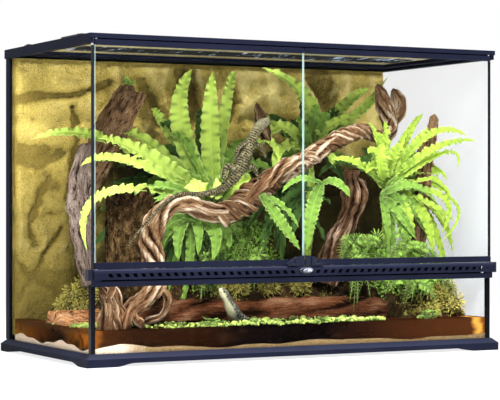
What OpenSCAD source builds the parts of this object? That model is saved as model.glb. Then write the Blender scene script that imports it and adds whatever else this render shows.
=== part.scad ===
// Front-opening glass terrarium: cabinet, doors, vented lid with a strip light, and a planted interior.
// The origin is the centre of the footprint, on the surface that it stands on; +Z is up, the doors face -Y.

/* [Cabinet] */
// Width over the base frame
base_w = 900; // [750:10:1100]
// Depth over the base frame
base_d = 450; // [420:10:600]
// Height from the floor to the top of the top frame
total_h = 606; // [560:2:760]
// Inset of the glass box from the edge of the base frame
glass_inset = 12.5; // [11.5:0.5:14]
// Thickness of the fixed panes
pane_t = 5; // [4:0.5:6]
// Clearance around each seated pane
pane_fit = 0.2; // [0.1:0.05:0.3]

/* [Base frame] */
// Height of the base frame
base_h = 24; // [22:1:30]
// Height of its upright edge, under the bevel
base_edge_h = 15; // [14:0.5:18]
// Width of the bevel
bevel_w = 10; // [6:0.5:10.5]
// Height of the floor pane's ledge
ledge_z = 12; // [10:0.5:14]
// Width of the floor pane's ledge
ledge_w = 20; // [12:1:30]
// Height of the arch between the feet
foot_rise = 6.3; // [4:0.1:8]
// Length of each foot along the front
foot_x = 55; // [40:1:80]
// Length of each foot along the side
foot_y = 36; // [30:1:60]
// Length of the curve from a foot to the arch
foot_curve = 40; // [20:1:60]

/* [Top frame] */
// Height of the top frame
top_h = 18; // [17:0.5:24]
// Overhang of the top frame past the glass
top_lap = 5.5; // [4:0.5:8]
// Width of the top frame's side rails
top_rail_w = 31; // [28:1:40]
// Depth of the rear ledge that holds the cable inlets
rear_ledge_d = 57; // [54:1:70]
// Depth of the lid's rebate
lid_h = 6; // [5:0.5:7]
// Width of the shelf under the lid's edge
lid_shelf_w = 12; // [8:1:16]
// Height of the shelf's underside over the top frame's lower edge
shelf_lift = 6; // [5:0.5:7]

/* [Doors] */
// Thickness of the door glass
door_t = 4; // [3:0.5:5]
// Depth of the door rails, front to back
rail_d = 10; // [9:0.5:11]
// Height of the top rails
top_rail_h = 10; // [9:0.5:12]
// Height of the bottom rails
low_rail_h = 11.5; // [11:0.5:14]
// Depth of the glass in each rail
glass_bite = 3.5; // [3:0.25:4.5]
// Distance of the hinge axis from the glass box's side
hinge_in = 7.5; // [7:0.5:12]
// Diameter of the hinge pins
pin_d = 4; // [3:0.25:4.5]
// Radial clearance of the pins and the lock shaft
running_fit = 0.05; // [0.02:0.01:0.1]
// Gap between the two doors
door_gap = 2; // [1.5:0.5:4]
// Length of each finger grip
grip_w = 37; // [32:1:50]
// Height of each grip above the bottom rail's lower edge
grip_h = 17; // [14:0.5:22]
// Projection of the grips in front of the rails
grip_d = 5; // [4:0.5:7]

/* [Vent strip] */
// Height of the vent strip's lower edge
vent_z = 146; // [120:1:180]
// Height of the vent strip
vent_h = 31.5; // [30:0.5:36]
// Thickness of its front wall
vent_wall = 2.8; // [2:0.2:3.2]
// Spacing of the slots
slot_pitch = 16.4; // [14:0.1:17]
// Width of a slot
slot_w = 8; // [6:0.5:9]
// Height of a slot
slot_h = 6.7; // [5:0.1:7.5]
// Distance of the first slot from the middle
slot_first = 28; // [24:1:34]
// Least distance of the last slot from the end of the strip's hollow
slot_end = 14; // [10:1:40]

/* [Lock] */
// Length of the oval lock knob
knob_l = 33; // [28:1:40]
// Height of the oval lock knob
knob_h = 14; // [12:0.5:18]
// Projection of the knob in front of the vent strip
knob_d = 7; // [5:0.5:10]
// Diameter of the lock shaft
shaft_d = 6; // [5:0.5:7]
// Reach of the cam from the shaft's axis
cam_reach = 14.5; // [13:0.25:15]
// Thickness of the cam
cam_t = 3; // [2:0.25:3.5]

/* [Lid and light] */
// Width of the lid's edge
lid_edge_w = 13; // [10:1:18]
// Width of the lid's middle bar
lid_bar_w = 10; // [8:1:20]
// Thickness of the lid's mesh
mesh_t = 0.9; // [0.6:0.1:1.2]
// Distance of each end of the strip light from the lid's edge
light_end = 34; // [20:1:150]
// Depth of the strip light
light_d = 100; // [60:5:140]
// Height of the strip light's casing
light_h = 14.5; // [12:0.5:24]
// Diameter of its tubes
tube_d = 7; // [5:0.5:7.5]
// Length of a lid latch
latch_l = 18; // [17:1:26]
// Distance of the front latches behind the front edge
latch_front = 75; // [60:5:120]
// Distance of the rear latches before the rear edge
latch_rear = 115; // [80:5:150]

/* [Fill and planting] */
// Height of the water
water_z = 66; // [50:1:90]
// Mean height of the sand
sand_z = 31; // [26:1:36]
// Height of the waves in the sand
sand_wave = 5; // [0:0.5:8]
// Thickness of the rock wall panel
rock_t = 17; // [12:1:20]
// Relief of the rock wall
rock_relief = 20; // [5:1:24]
// Gap between neighbours in the planting
plant_gap = 0.3; // [0.2:0.05:0.5]
// Thickness of a fern blade
leaf_t = 2.4; // [1.6:0.2:4]

/* [Hidden] */
$fn = 32;
cut = 1;          // how far a cut runs past the face it opens
skin = 0.2;       // gap between pieces that lie on one another but move apart

// Glass box
box_x = base_w / 2 - glass_inset;
box_y = base_d / 2 - glass_inset;
floor_top = ledge_z + pane_t;
top_z = total_h - top_h;
shelf_z = top_z + shelf_lift;
lid_z = total_h - lid_h;
wall_top = lid_z - 0.3;

// Door planes and hinges
door_back_y = -box_y - 0.5;
door_front_y = door_back_y - rail_d;
hinge_x = box_x - hinge_in;
hinge_y = door_back_y - rail_d / 2;
low_rail_z = vent_z + vent_h + 1;
top_rail_top = total_h - 11;
pin_gap = 2.2;
glass_z0 = low_rail_z + low_rail_h - glass_bite;
glass_z1 = top_rail_top - top_rail_h + glass_bite + 1.5;
glass_slot = door_t + 0.3;
glass_past = 2;
front_rail_z = top_rail_top + pin_gap;
low_pin_z = vent_z + vent_h - 11.5;
low_pin_top = low_rail_z + 7;
top_pin_z = top_rail_top - 4;
top_pin_top = total_h - 3;
pin_room = 0.4;   // room past a pin's end in the door
seal_gap = 3;

// Vent strip and lock
strip_x = box_x - 0.1;
vent_back_y = -box_y - pane_fit - 0.1;
vent_front_y = door_front_y - grip_d;
lip_back_y = -box_y + pane_t + 3.3;
vent_floor_z = vent_z + 10;
vent_roof_z = vent_z + vent_h - 3.5;
window_top = vent_floor_z - 2.3;
cavity_x = hinge_x - 8;
slot_n = floor((cavity_x - slot_end - slot_first) / slot_pitch) + 1;
lock_z = vent_z + 23;
cam_y = hinge_y;
cam_front = cam_reach + 1.5;
cam_back = 6;
knob_back_y = vent_front_y - 1;

// Where the lid and the inlets lie
open_x = box_x + top_lap - top_rail_w;
lid_x = open_x + lid_shelf_w;
mesh_z = lid_z + 2;
open_y0 = -box_y + 28.5;
open_y1 = box_y + top_lap + 5.3 - rear_ledge_d - lid_shelf_w;
lid_y0 = open_y0 - lid_shelf_w;
lid_y1 = open_y1 + lid_shelf_w;
relief_x = box_x - 9;
top_x = box_x + top_lap;
top_y = box_y + 10.8;
light_z = total_h + skin;
light_cap_l = 8;
light_wall = 1.6;
light_l = 2 * (lid_x - light_end);
light_in_x = light_l / 2 - light_cap_l;
light_in_y = light_d / 2 - light_wall - 0.1;
latch_x = top_x - 9;
latch_pin_d = 3;
latch_pin_l = 5;
latch_ys = [-base_d / 2 + latch_front, base_d / 2 - latch_rear];
gate_w = 30;
gate_d = 14;
gate_xs = [-0.75 * open_x, -0.55 * open_x, 0.55 * open_x, 0.75 * open_x];
gate_y = lid_y1 + 13;
inlet_w = 22;
inlet_d = 10;

// Front overhang of the knob, which sets the middle of the footprint
front_reach = -(knob_back_y - knob_d) - base_d / 2;

in_x = box_x - pane_t;
in_y = box_y - pane_t;
rock_y = in_y - rock_t;

// The planting is drawn in a cabin of these half sizes and height, and follows the real one
plan_k = [in_x / 432.5, in_y / 207.5, top_z / 588];

// ---------- helpers ----------
module slab(x0, x1, y0, y1, z0, z1) {
  translate([x0, y0, z0]) cube([x1 - x0, y1 - y0, z1 - z0]);
}

// An outline in Y and Z, drawn out along X
module along_x(x0, x1) {
  translate([x0, 0, 0]) rotate([90, 0, 90]) linear_extrude(x1 - x0) children();
}

// An outline in X and Z, drawn out along Y
module along_y(y0, y1) {
  translate([0, y1, 0]) rotate([90, 0, 0]) linear_extrude(y1 - y0) children();
}

module on_origin() {
  translate([0, front_reach / 2, 0]) children();
}

// A piece that is drawn for the right side, put on the side that s gives
module side(s) {
  mirror([s < 0 ? 1 : 0, 0, 0]) children();
}

module planned() {
  scale(plan_k) children();
}

// What the cabin sets, inside a piece of the planting
module unplanned() {
  scale([1 / plan_k[0], 1 / plan_k[1], 1 / plan_k[2]]) children();
}

function mix(a, b, t) = a + (b - a) * t;
function unit(v) = v / norm(v);

// A curve from a to c that passes through b
function arc_point(a, b, c, t) =
  let (k = 2 * b - (a + c) / 2) mix(mix(a, k, t), mix(k, c, t), t);

// Puts a slice at p: its Z along dir, its X square to dir and to the blade's face
module slice_at(p, dir, face) {
  z = unit(dir);
  x = unit(cross(z, face));
  y = cross(z, x);
  multmatrix([[x[0], y[0], z[0], p[0]], [x[1], y[1], z[1], p[1]], [x[2], y[2], z[2], p[2]], [0, 0, 0, 1]])
    children();
}

// ---------- cabinet ----------
function s_curve(x0, x1, z0, z1) =
  [for (i = [0:6]) [mix(x0, x1, i / 6), mix(z0, z1, (1 - cos(30 * i)) / 2)]];

module arch(half, foot) {
  w = half - foot;
  polygon(concat(
    [[-w, -cut]], s_curve(-w, -w + foot_curve, 0, foot_rise),
    s_curve(w - foot_curve, w, foot_rise, 0), [[w, -cut]]));
}

module base_frame() {
  x = base_w / 2;
  y = base_d / 2;
  color("#28293a") difference() {
    hull() {
      slab(-x, x, -y, y, 0, base_edge_h);
      slab(-x + bevel_w, x - bevel_w, -y + bevel_w, y - bevel_w, 0, base_h);
    }
    slab(-box_x - pane_fit, box_x + pane_fit, -box_y - pane_fit, box_y + pane_fit, ledge_z, base_h + cut);
    slab(-box_x + ledge_w, box_x - ledge_w, -box_y + ledge_w, box_y - ledge_w, -cut, base_h);
    along_y(-y - cut, y + cut) arch(x, foot_x);
    along_x(-x - cut, x + cut) arch(y, foot_y);
  }
}

module floor_glass() {
  color("#cfe0dc", 0.5) slab(-box_x, box_x, -box_y, box_y, ledge_z, floor_top);
}

module back_glass() {
  color("#cfe0dc", 0.5) slab(-box_x, box_x, box_y - pane_t, box_y, floor_top, wall_top);
}

module side_glass(s) {
  color("#cfe0dc", 0.4) side(s) slab(box_x - pane_t, box_x, -box_y, box_y - pane_t, floor_top, wall_top);
}

module front_window() {
  x = box_x - pane_t - pane_fit;
  color("#cfe0dc", 0.4) slab(-x, x, -box_y, -box_y + pane_t, floor_top, window_top);
}

module rear_corner_posts() {
  x = box_x + 0.1;
  y = box_y + 0.1;
  color("#1d1e28") for (s = [-1, 1]) side(s) {
    slab(x, x + 3, y - 9.5, y + 8.4, base_h, top_z);
    slab(x - 18, x + 3, y, y + 8.4, base_h, top_z);
  }
}

module door_seals() {
  color("#15151b") for (s = [-1, 1]) side(s)
    slab(box_x - pane_t, box_x, door_back_y - rail_d / 2 + seal_gap, -box_y,
      low_rail_z + low_rail_h + 0.5, top_rail_top - top_rail_h - 0.5);
}

module inlet_cut(x) {
  slab(x - inlet_w / 2, x + inlet_w / 2, gate_y - inlet_d / 2, gate_y + inlet_d / 2, top_z, total_h);
  slab(x - gate_w / 2 - 0.2, x + 1.5 * gate_w + 0.2, gate_y - gate_d / 2 - 0.2, gate_y + gate_d / 2 + 0.2,
    lid_z, lid_z + 3.2);
  slab(x - gate_w / 2 - 0.2, x + 1.5 * gate_w + 0.2, gate_y - gate_d / 2 + 1.5, gate_y + gate_d / 2 - 1.5,
    lid_z, total_h + cut);
}

module top_frame() {
  slot_out = box_x + pane_fit;
  slot_in = box_x - pane_t - pane_fit;
  color("#28293a") difference() {
    slab(-top_x, top_x, -top_y, top_y, top_z, total_h);
    for (s = [-1, 1]) side(s)
      slab(slot_in, slot_out, -box_y - pane_fit, box_y + pane_fit, top_z - cut, lid_z);
    slab(-slot_out, slot_out, box_y - pane_t - pane_fit, box_y + pane_fit, top_z - cut, lid_z);
    slab(-relief_x, relief_x, -box_y + 6, box_y - pane_t, top_z - cut, shelf_z);
    slab(-top_x + 7, top_x - 7, -top_y - cut, door_back_y + 0.4, top_z - cut, front_rail_z);
    slab(-top_x - cut, top_x + cut, -top_y - cut, hinge_y - 1, top_z - cut, front_rail_z);
    slab(-open_x, open_x, open_y0, open_y1, top_z - cut, total_h + cut);
    slab(-lid_x, lid_x, lid_y0, lid_y1, lid_z, total_h + cut);
    for (x = gate_xs) inlet_cut(x);
    for (s = [-1, 1]) {
      translate([s * hinge_x, hinge_y, front_rail_z - cut])
        cylinder(d = pin_d + 2 * running_fit, h = top_pin_top - front_rail_z + cut);
      for (y = latch_ys) translate([s * latch_x, y, total_h - latch_pin_l])
        cylinder(d = latch_pin_d + 2 * running_fit, h = latch_pin_l + cut);
    }
  }
}

// ---------- vent strip ----------
module vent_profile() {
  b = vent_z;
  t = vent_z + vent_h;
  f = vent_front_y;
  polygon([
    [vent_back_y, b], [f + 8, b], [f + 6.5, b + 1.5], [f + 6, b + 11], [f + 1.2, b + 13.2],
    [f, b + 15], [f, t - 6.5], [f + 1.6, t - 2.5], [f + 5, t], [vent_back_y, t]]);
}

// The slots lean away from the lock on both sides
module slot_outline() {
  lean = slot_h * 0.45;
  polygon([
    [-slot_w / 2 - lean / 2, 0], [slot_w / 2 - lean / 2, 0],
    [slot_w / 2 + lean / 2, slot_h], [-slot_w / 2 + lean / 2, slot_h]]);
}

// The room in which the cam swings
module cam_room(x0, x1, z0, z1) {
  slab(x0, x1, cam_y - cam_t / 2 - 1, cam_y + cam_t / 2 + 1, z0, z1);
}

module vent_strip() {
  inner_x = box_x - pane_t - pane_fit;
  roof = vent_z + vent_h;
  color("#28293a") difference() {
    union() {
      along_x(-strip_x, strip_x) vent_profile();
      slab(-inner_x, inner_x, vent_back_y - 1, lip_back_y, vent_z, vent_floor_z);
      slab(-inner_x, inner_x, vent_back_y - 1, lip_back_y, vent_roof_z, roof);
    }
    slab(-cavity_x, cavity_x, vent_front_y + vent_wall, lip_back_y + cut, vent_floor_z, vent_roof_z);
    slab(-inner_x - cut, inner_x + cut, -box_y - pane_fit, -box_y + pane_t + pane_fit,
      vent_z - cut, window_top + 0.3);
    for (s = [-1, 1]) side(s) {
      for (i = [0:slot_n - 1])
        translate([slot_first + i * slot_pitch, 0, lock_z - slot_h + 1])
          along_y(vent_front_y - cut, vent_front_y + vent_wall + cut) slot_outline();
      translate([hinge_x, hinge_y, low_pin_z])
        cylinder(d = pin_d + 2 * running_fit, h = roof - low_pin_z + cut);
    }
    cam_room(-cam_back, cam_front, vent_roof_z - cut, roof + cut);
    translate([0, vent_front_y + vent_wall + cut, lock_z]) rotate([90, 0, 0])
      cylinder(d = shaft_d + 2 * running_fit, h = vent_wall + 2 * cut);
  }
}

module vent_gauze() {
  x = cavity_x - 0.2;
  color("#8d8f99") slab(-x, x, lip_back_y - 1.2, lip_back_y - 0.4, vent_floor_z, vent_roof_z - 0.2);
}

module vent_end_caps() {
  z = vent_z + 11.5;
  color("#2f3145") for (s = [-1, 1]) side(s)
    slab(strip_x + 0.2, strip_x + 9.7, door_front_y + 1, -box_y + 4.5, z, vent_z + vent_h + 0.5);
}

module hinge_pins() {
  color("silver") for (s = [-1, 1]) side(s) {
    translate([hinge_x, hinge_y, low_pin_z]) cylinder(d = pin_d, h = low_pin_top - low_pin_z);
    translate([hinge_x, hinge_y, top_pin_z]) cylinder(d = pin_d, h = top_pin_top - top_pin_z);
  }
}

// ---------- doors, drawn for the right side ----------
module door_glass(s) {
  color("#d8e6e2", 0.35) side(s)
    slab(door_gap / 2, hinge_x + glass_past, hinge_y - door_t / 2, hinge_y + door_t / 2, glass_z0, glass_z1);
}

module rail_bar(z0, z1) {
  slab(door_gap / 2, hinge_x, door_front_y, door_back_y, z0, z1);
  translate([hinge_x, hinge_y, z0]) cylinder(d = rail_d, h = z1 - z0);
}

module glass_groove(z0, z1) {
  slab(0, hinge_x + rail_d, hinge_y - glass_slot / 2, hinge_y + glass_slot / 2, z0, z1);
}

module door_top_rail(s) {
  z0 = top_rail_top - top_rail_h;
  color("#2b2c3e") side(s) difference() {
    rail_bar(z0, top_rail_top);
    glass_groove(z0 - cut, glass_z1);
    translate([hinge_x, hinge_y, top_pin_z - pin_room])
      cylinder(d = pin_d + 2 * running_fit, h = top_rail_top - top_pin_z + pin_room + cut);
  }
}

module door_bottom_rail(s) {
  z1 = low_rail_z + low_rail_h;
  color("#2b2c3e") side(s) difference() {
    rail_bar(low_rail_z, z1);
    glass_groove(glass_z0, z1 + cut);
    translate([hinge_x, hinge_y, low_rail_z - cut])
      cylinder(d = pin_d + 2 * running_fit, h = low_pin_top - low_rail_z + pin_room + cut);
    cam_room(-cut, s > 0 ? cam_front : cam_back, low_rail_z - cut, lock_z + cam_reach + 1);
  }
}

// A sloping hump with a finger scoop beside a recessed middle plate
module door_grip(s) {
  x0 = 14;
  x1 = x0 + 3;
  peak = low_rail_z + grip_h;
  shade = low_rail_z + 4.5;
  end = door_gap / 2 + grip_w + 2;
  color("#2b2c3e") side(s) difference() {
    union() {
      along_y(door_front_y - grip_d, door_front_y) polygon([
        [x0, low_rail_z], [end - 6, low_rail_z], [end, low_rail_z + 2], [end, shade],
        [x1 + 6, peak - 1.2], [x1 + 2, peak], [x0, peak]]);
      slab(door_gap / 2, x0, door_front_y - grip_d / 2, door_front_y, low_rail_z, peak + 2);
    }
    translate([x0 + 12, door_front_y - grip_d - 3, low_rail_z + 7.5]) rotate([0, 90, 0])
      cylinder(d = 11, h = 7, center = true);
  }
}

// ---------- lock ----------
// The outline where two equal circles cross: l long and h high
module oval(l, h) {
  r = (l * l + h * h) / (4 * h);
  intersection() {
    translate([0, r - h / 2]) circle(r, $fn = 96);
    translate([0, h / 2 - r]) circle(r, $fn = 96);
  }
}

module lock_knob() {
  color("#3a3c50") translate([0, 0, lock_z]) difference() {
    union() {
      along_y(knob_back_y - 3, knob_back_y) oval(knob_l, knob_h);
      along_y(knob_back_y - knob_d, knob_back_y - 3) oval(knob_l * 0.7, knob_h * 0.7);
    }
    translate([0, knob_back_y + cut, 0]) rotate([90, 0, 0]) cylinder(d = shaft_d + 0.02, h = 4 + cut);
  }
}

module lock_shaft() {
  y1 = cam_y + cam_t / 2 + 1;
  color("silver") translate([0, y1, lock_z]) rotate([90, 0, 0])
    cylinder(d = shaft_d, h = y1 - (knob_back_y - 4));
}

module lock_cam() {
  color("silver") translate([0, cam_y + cam_t / 2, lock_z]) rotate([90, 0, 0]) difference() {
    linear_extrude(cam_t) union() {
      circle(d = shaft_d + 3);
      translate([0, -4]) square([cam_reach, 8]);
    }
    translate([0, 0, -cut]) cylinder(d = shaft_d + 0.02, h = cam_t + 2 * cut);
  }
}

// ---------- lid ----------
module lid_frame() {
  z0 = lid_z + skin;
  e = lid_edge_w;
  x = lid_x - 0.3;
  color("#28293a") difference() {
    slab(-x, x, lid_y0 + 0.3, lid_y1 - 0.3, z0, total_h);
    slab(-x + 9, x - 9, lid_y0 + 9.3, lid_y1 - 9.3, z0 - cut, mesh_z);
    for (s = [-1, 1]) side(s)
      slab(lid_bar_w / 2, x - e, lid_y0 + e + 0.3, lid_y1 - e - 0.3, z0 - cut, total_h + cut);
  }
}

module lid_mesh(s) {
  color("#8a8574") side(s)
    slab(0.2, lid_x - 9.5, lid_y0 + 9.5, lid_y1 - 9.5, mesh_z - mesh_t, mesh_z);
}

// ---------- strip light, lying on the lid ----------
module light_housing() {
  x = light_in_x;
  y = light_d / 2;
  color("#1b1c25") difference() {
    slab(-x, x, -y, y, light_z, light_z + light_h);
    slab(-x - cut, x + cut, -y + light_wall, y - light_wall, light_z - cut, light_z + light_h - light_wall);
  }
}

module light_end_caps() {
  x = light_l / 2;
  y = light_d / 2;
  foot_z = mesh_z + 0.1;
  color("#1b1c25") difference() {
    for (s = [-1, 1]) side(s) {
      slab(light_in_x, x, -y, y, light_z, light_z + light_h);
      for (t = [-1, 1]) translate([x - 6, t * (y - 8), foot_z]) cylinder(d = 10, h = light_z - foot_z);
    }
    translate([light_in_x - cut, 0, light_z + light_h / 2]) rotate([0, 90, 0])
      cylinder(d = 5, h = light_cap_l + 2 * cut);
  }
}

module light_reflector() {
  y = light_in_y;
  top = light_z + light_h - light_wall - 0.1;
  rim = light_z + 2.2;
  color("gainsboro") along_x(-light_in_x, light_in_x) polygon([
    [-y, rim], [-y + 10, top - 0.8], [y - 10, top - 0.8], [y, rim], [y, top], [-y, top]]);
}

module light_tubes() {
  z = light_z + 2.4 + tube_d / 2;
  color("white") for (t = [-1, 1])
    translate([-light_in_x, t * light_d / 5, z]) rotate([0, 90, 0]) cylinder(d = tube_d, h = 2 * light_in_x);
}

module light_lens() {
  color("#9fb4c8", 0.5)
    slab(-light_in_x, light_in_x, -light_in_y, light_in_y, light_z + 0.2, light_z + 2.1);
}

// ---------- latches and cable gates ----------
module latch(s, y) {
  color("#23242f") translate([s * latch_x, y, total_h]) {
    translate([0, 0, skin]) cylinder(d = 10, h = 3.5);
    translate([-3, 0, skin]) cube([6, latch_l, 2.5]);
    translate([0, 0, skin - latch_pin_l]) cylinder(d = latch_pin_d, h = latch_pin_l);
  }
}

module cable_gate(x) {
  color("#23242f") {
    slab(x - gate_w / 2, x + gate_w / 2, gate_y - gate_d / 2, gate_y + gate_d / 2, lid_z + skin, lid_z + 3);
    slab(x - 2, x + 2, gate_y - gate_d / 2 + 3, gate_y + gate_d / 2 - 3, lid_z + 3, lid_z + 5.5);
  }
}

// ---------- fill ----------
function rock_wave(x, z) =
  0.42 + 0.2 * sin(x * 1.1 + z * 0.5) + 0.2 * sin(z * 1.9 - x * 0.4) + 0.18 * sin(x * 2.3 + 60);

// The relief fades out over 60 mm above the bank and below the top frame
function rock_out(x, z) =
  rock_relief * rock_wave(x, z) * min(1, max(0, (z - 210) / 60)) * min(1, max(0, (top_z - 20 - z) / 60));

// A panel whose front stands out in a wavy relief, as a grid of nx by nz faces
module rock_wall() {
  nx = 22;
  nz = 14;
  z0 = floor_top + 0.2;
  z1 = shelf_z - 0.3;
  x = relief_x - 0.3;
  function gx(i) = mix(-x, x, i / nx);
  function gz(j) = mix(z0, z1, j / nz);
  front = [for (j = [0:nz], i = [0:nx]) [gx(i), rock_y - rock_out(gx(i), gz(j)), gz(j)]];
  back = [for (j = [0:nz], i = [0:nx]) [gx(i), in_y - 0.3, gz(j)]];
  n = (nx + 1) * (nz + 1);
  function id(i, j) = j * (nx + 1) + i;
  color("#b9983f") polyhedron(concat(front, back), concat(
    [for (j = [0:nz - 1], i = [0:nx - 1]) each [
      [id(i, j), id(i + 1, j + 1), id(i + 1, j)], [id(i, j), id(i, j + 1), id(i + 1, j + 1)],
      [n + id(i, j), n + id(i + 1, j), n + id(i + 1, j + 1)],
      [n + id(i, j), n + id(i + 1, j + 1), n + id(i, j + 1)]]],
    [for (i = [0:nx - 1]) each [
      [id(i, 0), id(i + 1, 0), n + id(i + 1, 0)], [id(i, 0), n + id(i + 1, 0), n + id(i, 0)],
      [id(i, nz), n + id(i + 1, nz), id(i + 1, nz)], [id(i, nz), n + id(i, nz), n + id(i + 1, nz)]]],
    [for (j = [0:nz - 1]) each [
      [id(0, j), n + id(0, j + 1), id(0, j + 1)], [id(0, j), n + id(0, j), n + id(0, j + 1)],
      [id(nx, j), id(nx, j + 1), n + id(nx, j + 1)], [id(nx, j), n + id(nx, j + 1), n + id(nx, j)]]]));
}

function sand_top(x) = sand_z + sand_wave * (0.6 * sin(x * 0.9 + 40) + 0.4 * sin(x * 2.6));

module sand_outline(z0, lift) {
  x = in_x - 0.3;
  polygon(concat([[-x, z0]], [for (i = [0:40]) [mix(-x, x, i / 40), sand_top(mix(-x, x, i / 40)) + lift]],
    [[x, z0]]));
}

module sand_bed() {
  color("#c8a877") along_y(-in_y + 0.3, rock_y - 0.3) sand_outline(floor_top + 0.2, 0);
}

// ---------- wood and soil: g grows a shape, to cut its neighbours clear of it ----------
module ball(p, r) {
  translate([p[0], p[1], p[2]]) sphere(r, $fn = 8);
}

// The last stretch of a limb, where it enters the soil
function foot(q) = [q[len(q) - 2], q[len(q) - 1]];

// A limb through points [x, y, z, radius]
module limb(q, g = 0) {
  for (i = [0:len(q) - 2]) hull() {
    ball(q[i], q[i][3] + g);
    ball(q[i + 1], q[i + 1][3] + g);
  }
}

vine_pts = [
  [-370, -185, 45, 16], [-345, -168, 95, 20], [-300, -140, 115, 21], [-262, -110, 145, 22],
  [-253, -80, 190, 23], [-250, -62, 225, 23], [-238, -60, 262, 22], [-210, -60, 292, 20],
  [-168, -60, 296, 18], [-128, -60, 281, 17], [-82, -60, 277, 20], [-45, -58, 295, 25],
  [-12, -56, 325, 24], [40, -50, 352, 22], [95, -45, 382, 26], [165, -40, 418, 23],
  [240, -30, 442, 20], [295, -20, 425, 20], [315, -10, 465, 24], [325, 0, 512, 30]];
vine_loop = [[-10, -78, 296, 17], [35, -84, 284, 16], [82, -82, 297, 19], [132, -72, 302, 16]];
root_pts = [[-398, -182, 38, 20], [-388, -178, 75, 24], [-384, -172, 110, 18], [-392, -160, 140, 12]];
root_side = [
  [-372, -195, 30, 8], [-378, -190, 70, 9], [-386, -180, 108, 7], [-392, -172, 128, 6],
  [-396, -166, 140, 5], [-398, -160, 150, 5]];
trunk_pts = [
  [218, -15, 352, 24], [248, -15, 318, 26], [252, -10, 285, 24], [236, 0, 245, 25],
  [212, 15, 200, 28], [188, 32, 130, 34]];
stick_pts = [
  [392, -78, 470, 10], [376, -75, 415, 15], [364, -72, 325, 16], [358, -66, 215, 17],
  [355, -60, 165, 18], [354, -58, 118, 18]];
vine_twig = [[315, -10, 465, 12], [352, 6, 492, 14], [372, 10, 505, 9]];

module driftwood_vine() {
  color("#8c6a55") difference() {
    union() {
      limb(vine_pts);
      limb(vine_loop);
      limb(vine_twig);
    }
    below_sand();
  }
}

module driftwood_trunk() {
  color("#80604a") difference() {
    limb(trunk_pts);
    limb(vine_pts, plant_gap);
  }
}

module corner_root(g = 0) {
  color("#a58678") difference() {
    union() {
      limb(root_pts, g);
      limb(root_side, g);
    }
    if (g == 0) {
      limb(vine_pts, plant_gap);
      below_sand();
    }
  }
}

// A half pipe of bark that leans on the slab, open to the right
pipe_r = 36;
pipe_l = 250;

module cork_half_pipe(g = 0) {
  color("#80503a") difference() {
    translate([-322, 132, 318]) rotate([0, 27, 0]) difference() {
      translate([0, 0, -g]) cylinder(r = pipe_r + g, h = pipe_l + 2 * g);
      if (g == 0) {
        translate([0, 0, -cut]) cylinder(r = pipe_r - 10, h = pipe_l + 2 * cut);
        translate([12, -60, -cut]) cube([60, 120, pipe_l + 2 * cut]);
      }
    }
    if (g == 0) cork_slab(plant_gap);
  }
}

module cork_slab(g = 0) {
  color("#8f7c72") translate([-348, 60, 128]) rotate([-6, 7, 0])
    translate([-28 - g, -8 - g, -g]) cube([56 + 2 * g, 16 + 2 * g, 290 + 2 * g]);
}

module cork_stump(g = 0) {
  color("#4b3a2c") difference() {
    translate([-238, 40, 110]) cylinder(r = 58 + g, h = 215 + g);
    if (g == 0) {
      translate([-238, 40, 110]) translate([0, 0, 60]) cylinder(r = 44, h = 160);
      cork_half_pipe(plant_gap);
      cork_slab(plant_gap);
    }
  }
}

module cork_stick() {
  color("#6d4c3a") limb(stick_pts);
}

module shore_cork(g = 0) {
  x = 426;
  color("#b07a58") along_x(-x - g, -x + 95 + g) polygon([
    [-60 - g, 48 - g], [-58 - g, 72 + g], [-10, 92 + g], [40 + g, 88 + g], [58 + g, 48 - g]]);
}

module waterline_log(g = 0) {
  a = [-300, 24, 71];
  b = [335, -64, 74];
  d = b - a;
  color("#7c4630") translate(a) rotate([0, acos(d[2] / norm(d)), atan2(d[1], d[0])])
    translate([0, 0, -g]) cylinder(r = 32 + g, h = norm(d) + 2 * g);
}

// The bank as it would be without what stands in it
module bank_solid(g = 0) {
  y = (rock_y - 0.3) / plan_k[1] + 4 * g;
  along_x(-372 - g, 432 + g) polygon([
    [28 - g, 20], [24 - g, 92], [46, 122], [100, 150], [y, 165], [y, 20]]);
  along_x(-402 - g, -371) polygon([
    [62 - g, 20], [64 - g, 70], [100, 96], [y, 112], [y, 20]]);
  along_x(268 - g, 432 + g) polygon([
    [-150 - g, 20], [-146 - g, 70], [-100, 105], [-40, 130], [40, 140], [40, 20]]);
}

module below_sand() {
  unplanned() along_y(-in_y, in_y) sand_outline(0, plant_gap);
}

module planting_bank() {
  color("#3a3022") difference() {
    bank_solid();
    below_sand();
    waterline_log(plant_gap);
    cork_stump(plant_gap);
    shore_cork(plant_gap);
    cork_half_pipe(plant_gap);
    cork_slab(plant_gap);
    limb(foot(trunk_pts), plant_gap);
    limb(foot(stick_pts), plant_gap);
  }
}

module water_fill() {
  color("#7a3d12", 0.6) difference() {
    along_y(-in_y + 0.3, rock_y - 0.3) difference() {
      translate([-in_x + 0.3, 20]) square([2 * in_x - 0.6, water_z - 20]);
      sand_outline(0, 0.2);
    }
    planned() {
      bank_solid(plant_gap);
      waterline_log(plant_gap);
      shore_cork(plant_gap);
      limb(vine_pts, plant_gap);
      corner_root(plant_gap);
      lizards(plant_gap);
    }
  }
}

// ---------- plants ----------
leaf_face = [-0.35, -0.75, 0.55];

function blade_w(t) = 0.3 + 0.7 * sin(180 * pow(t * 0.92 + 0.04, 0.8));

// A blade from base through mid to tip, w wide at its widest
module frond(base, mid, tip, w, g = 0) {
  n = 5;
  for (i = [0:n - 1]) hull() for (k = [0, 1]) {
    t = (i + k) / n;
    dir = arc_point(base, mid, tip, t + 0.02) - arc_point(base, mid, tip, t - 0.02);
    slice_at(arc_point(base, mid, tip, t), dir, leaf_face)
      cube([w * blade_w(t) + 2 * g, leaf_t + 2 * g, 0.4], center = true);
  }
}

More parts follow.
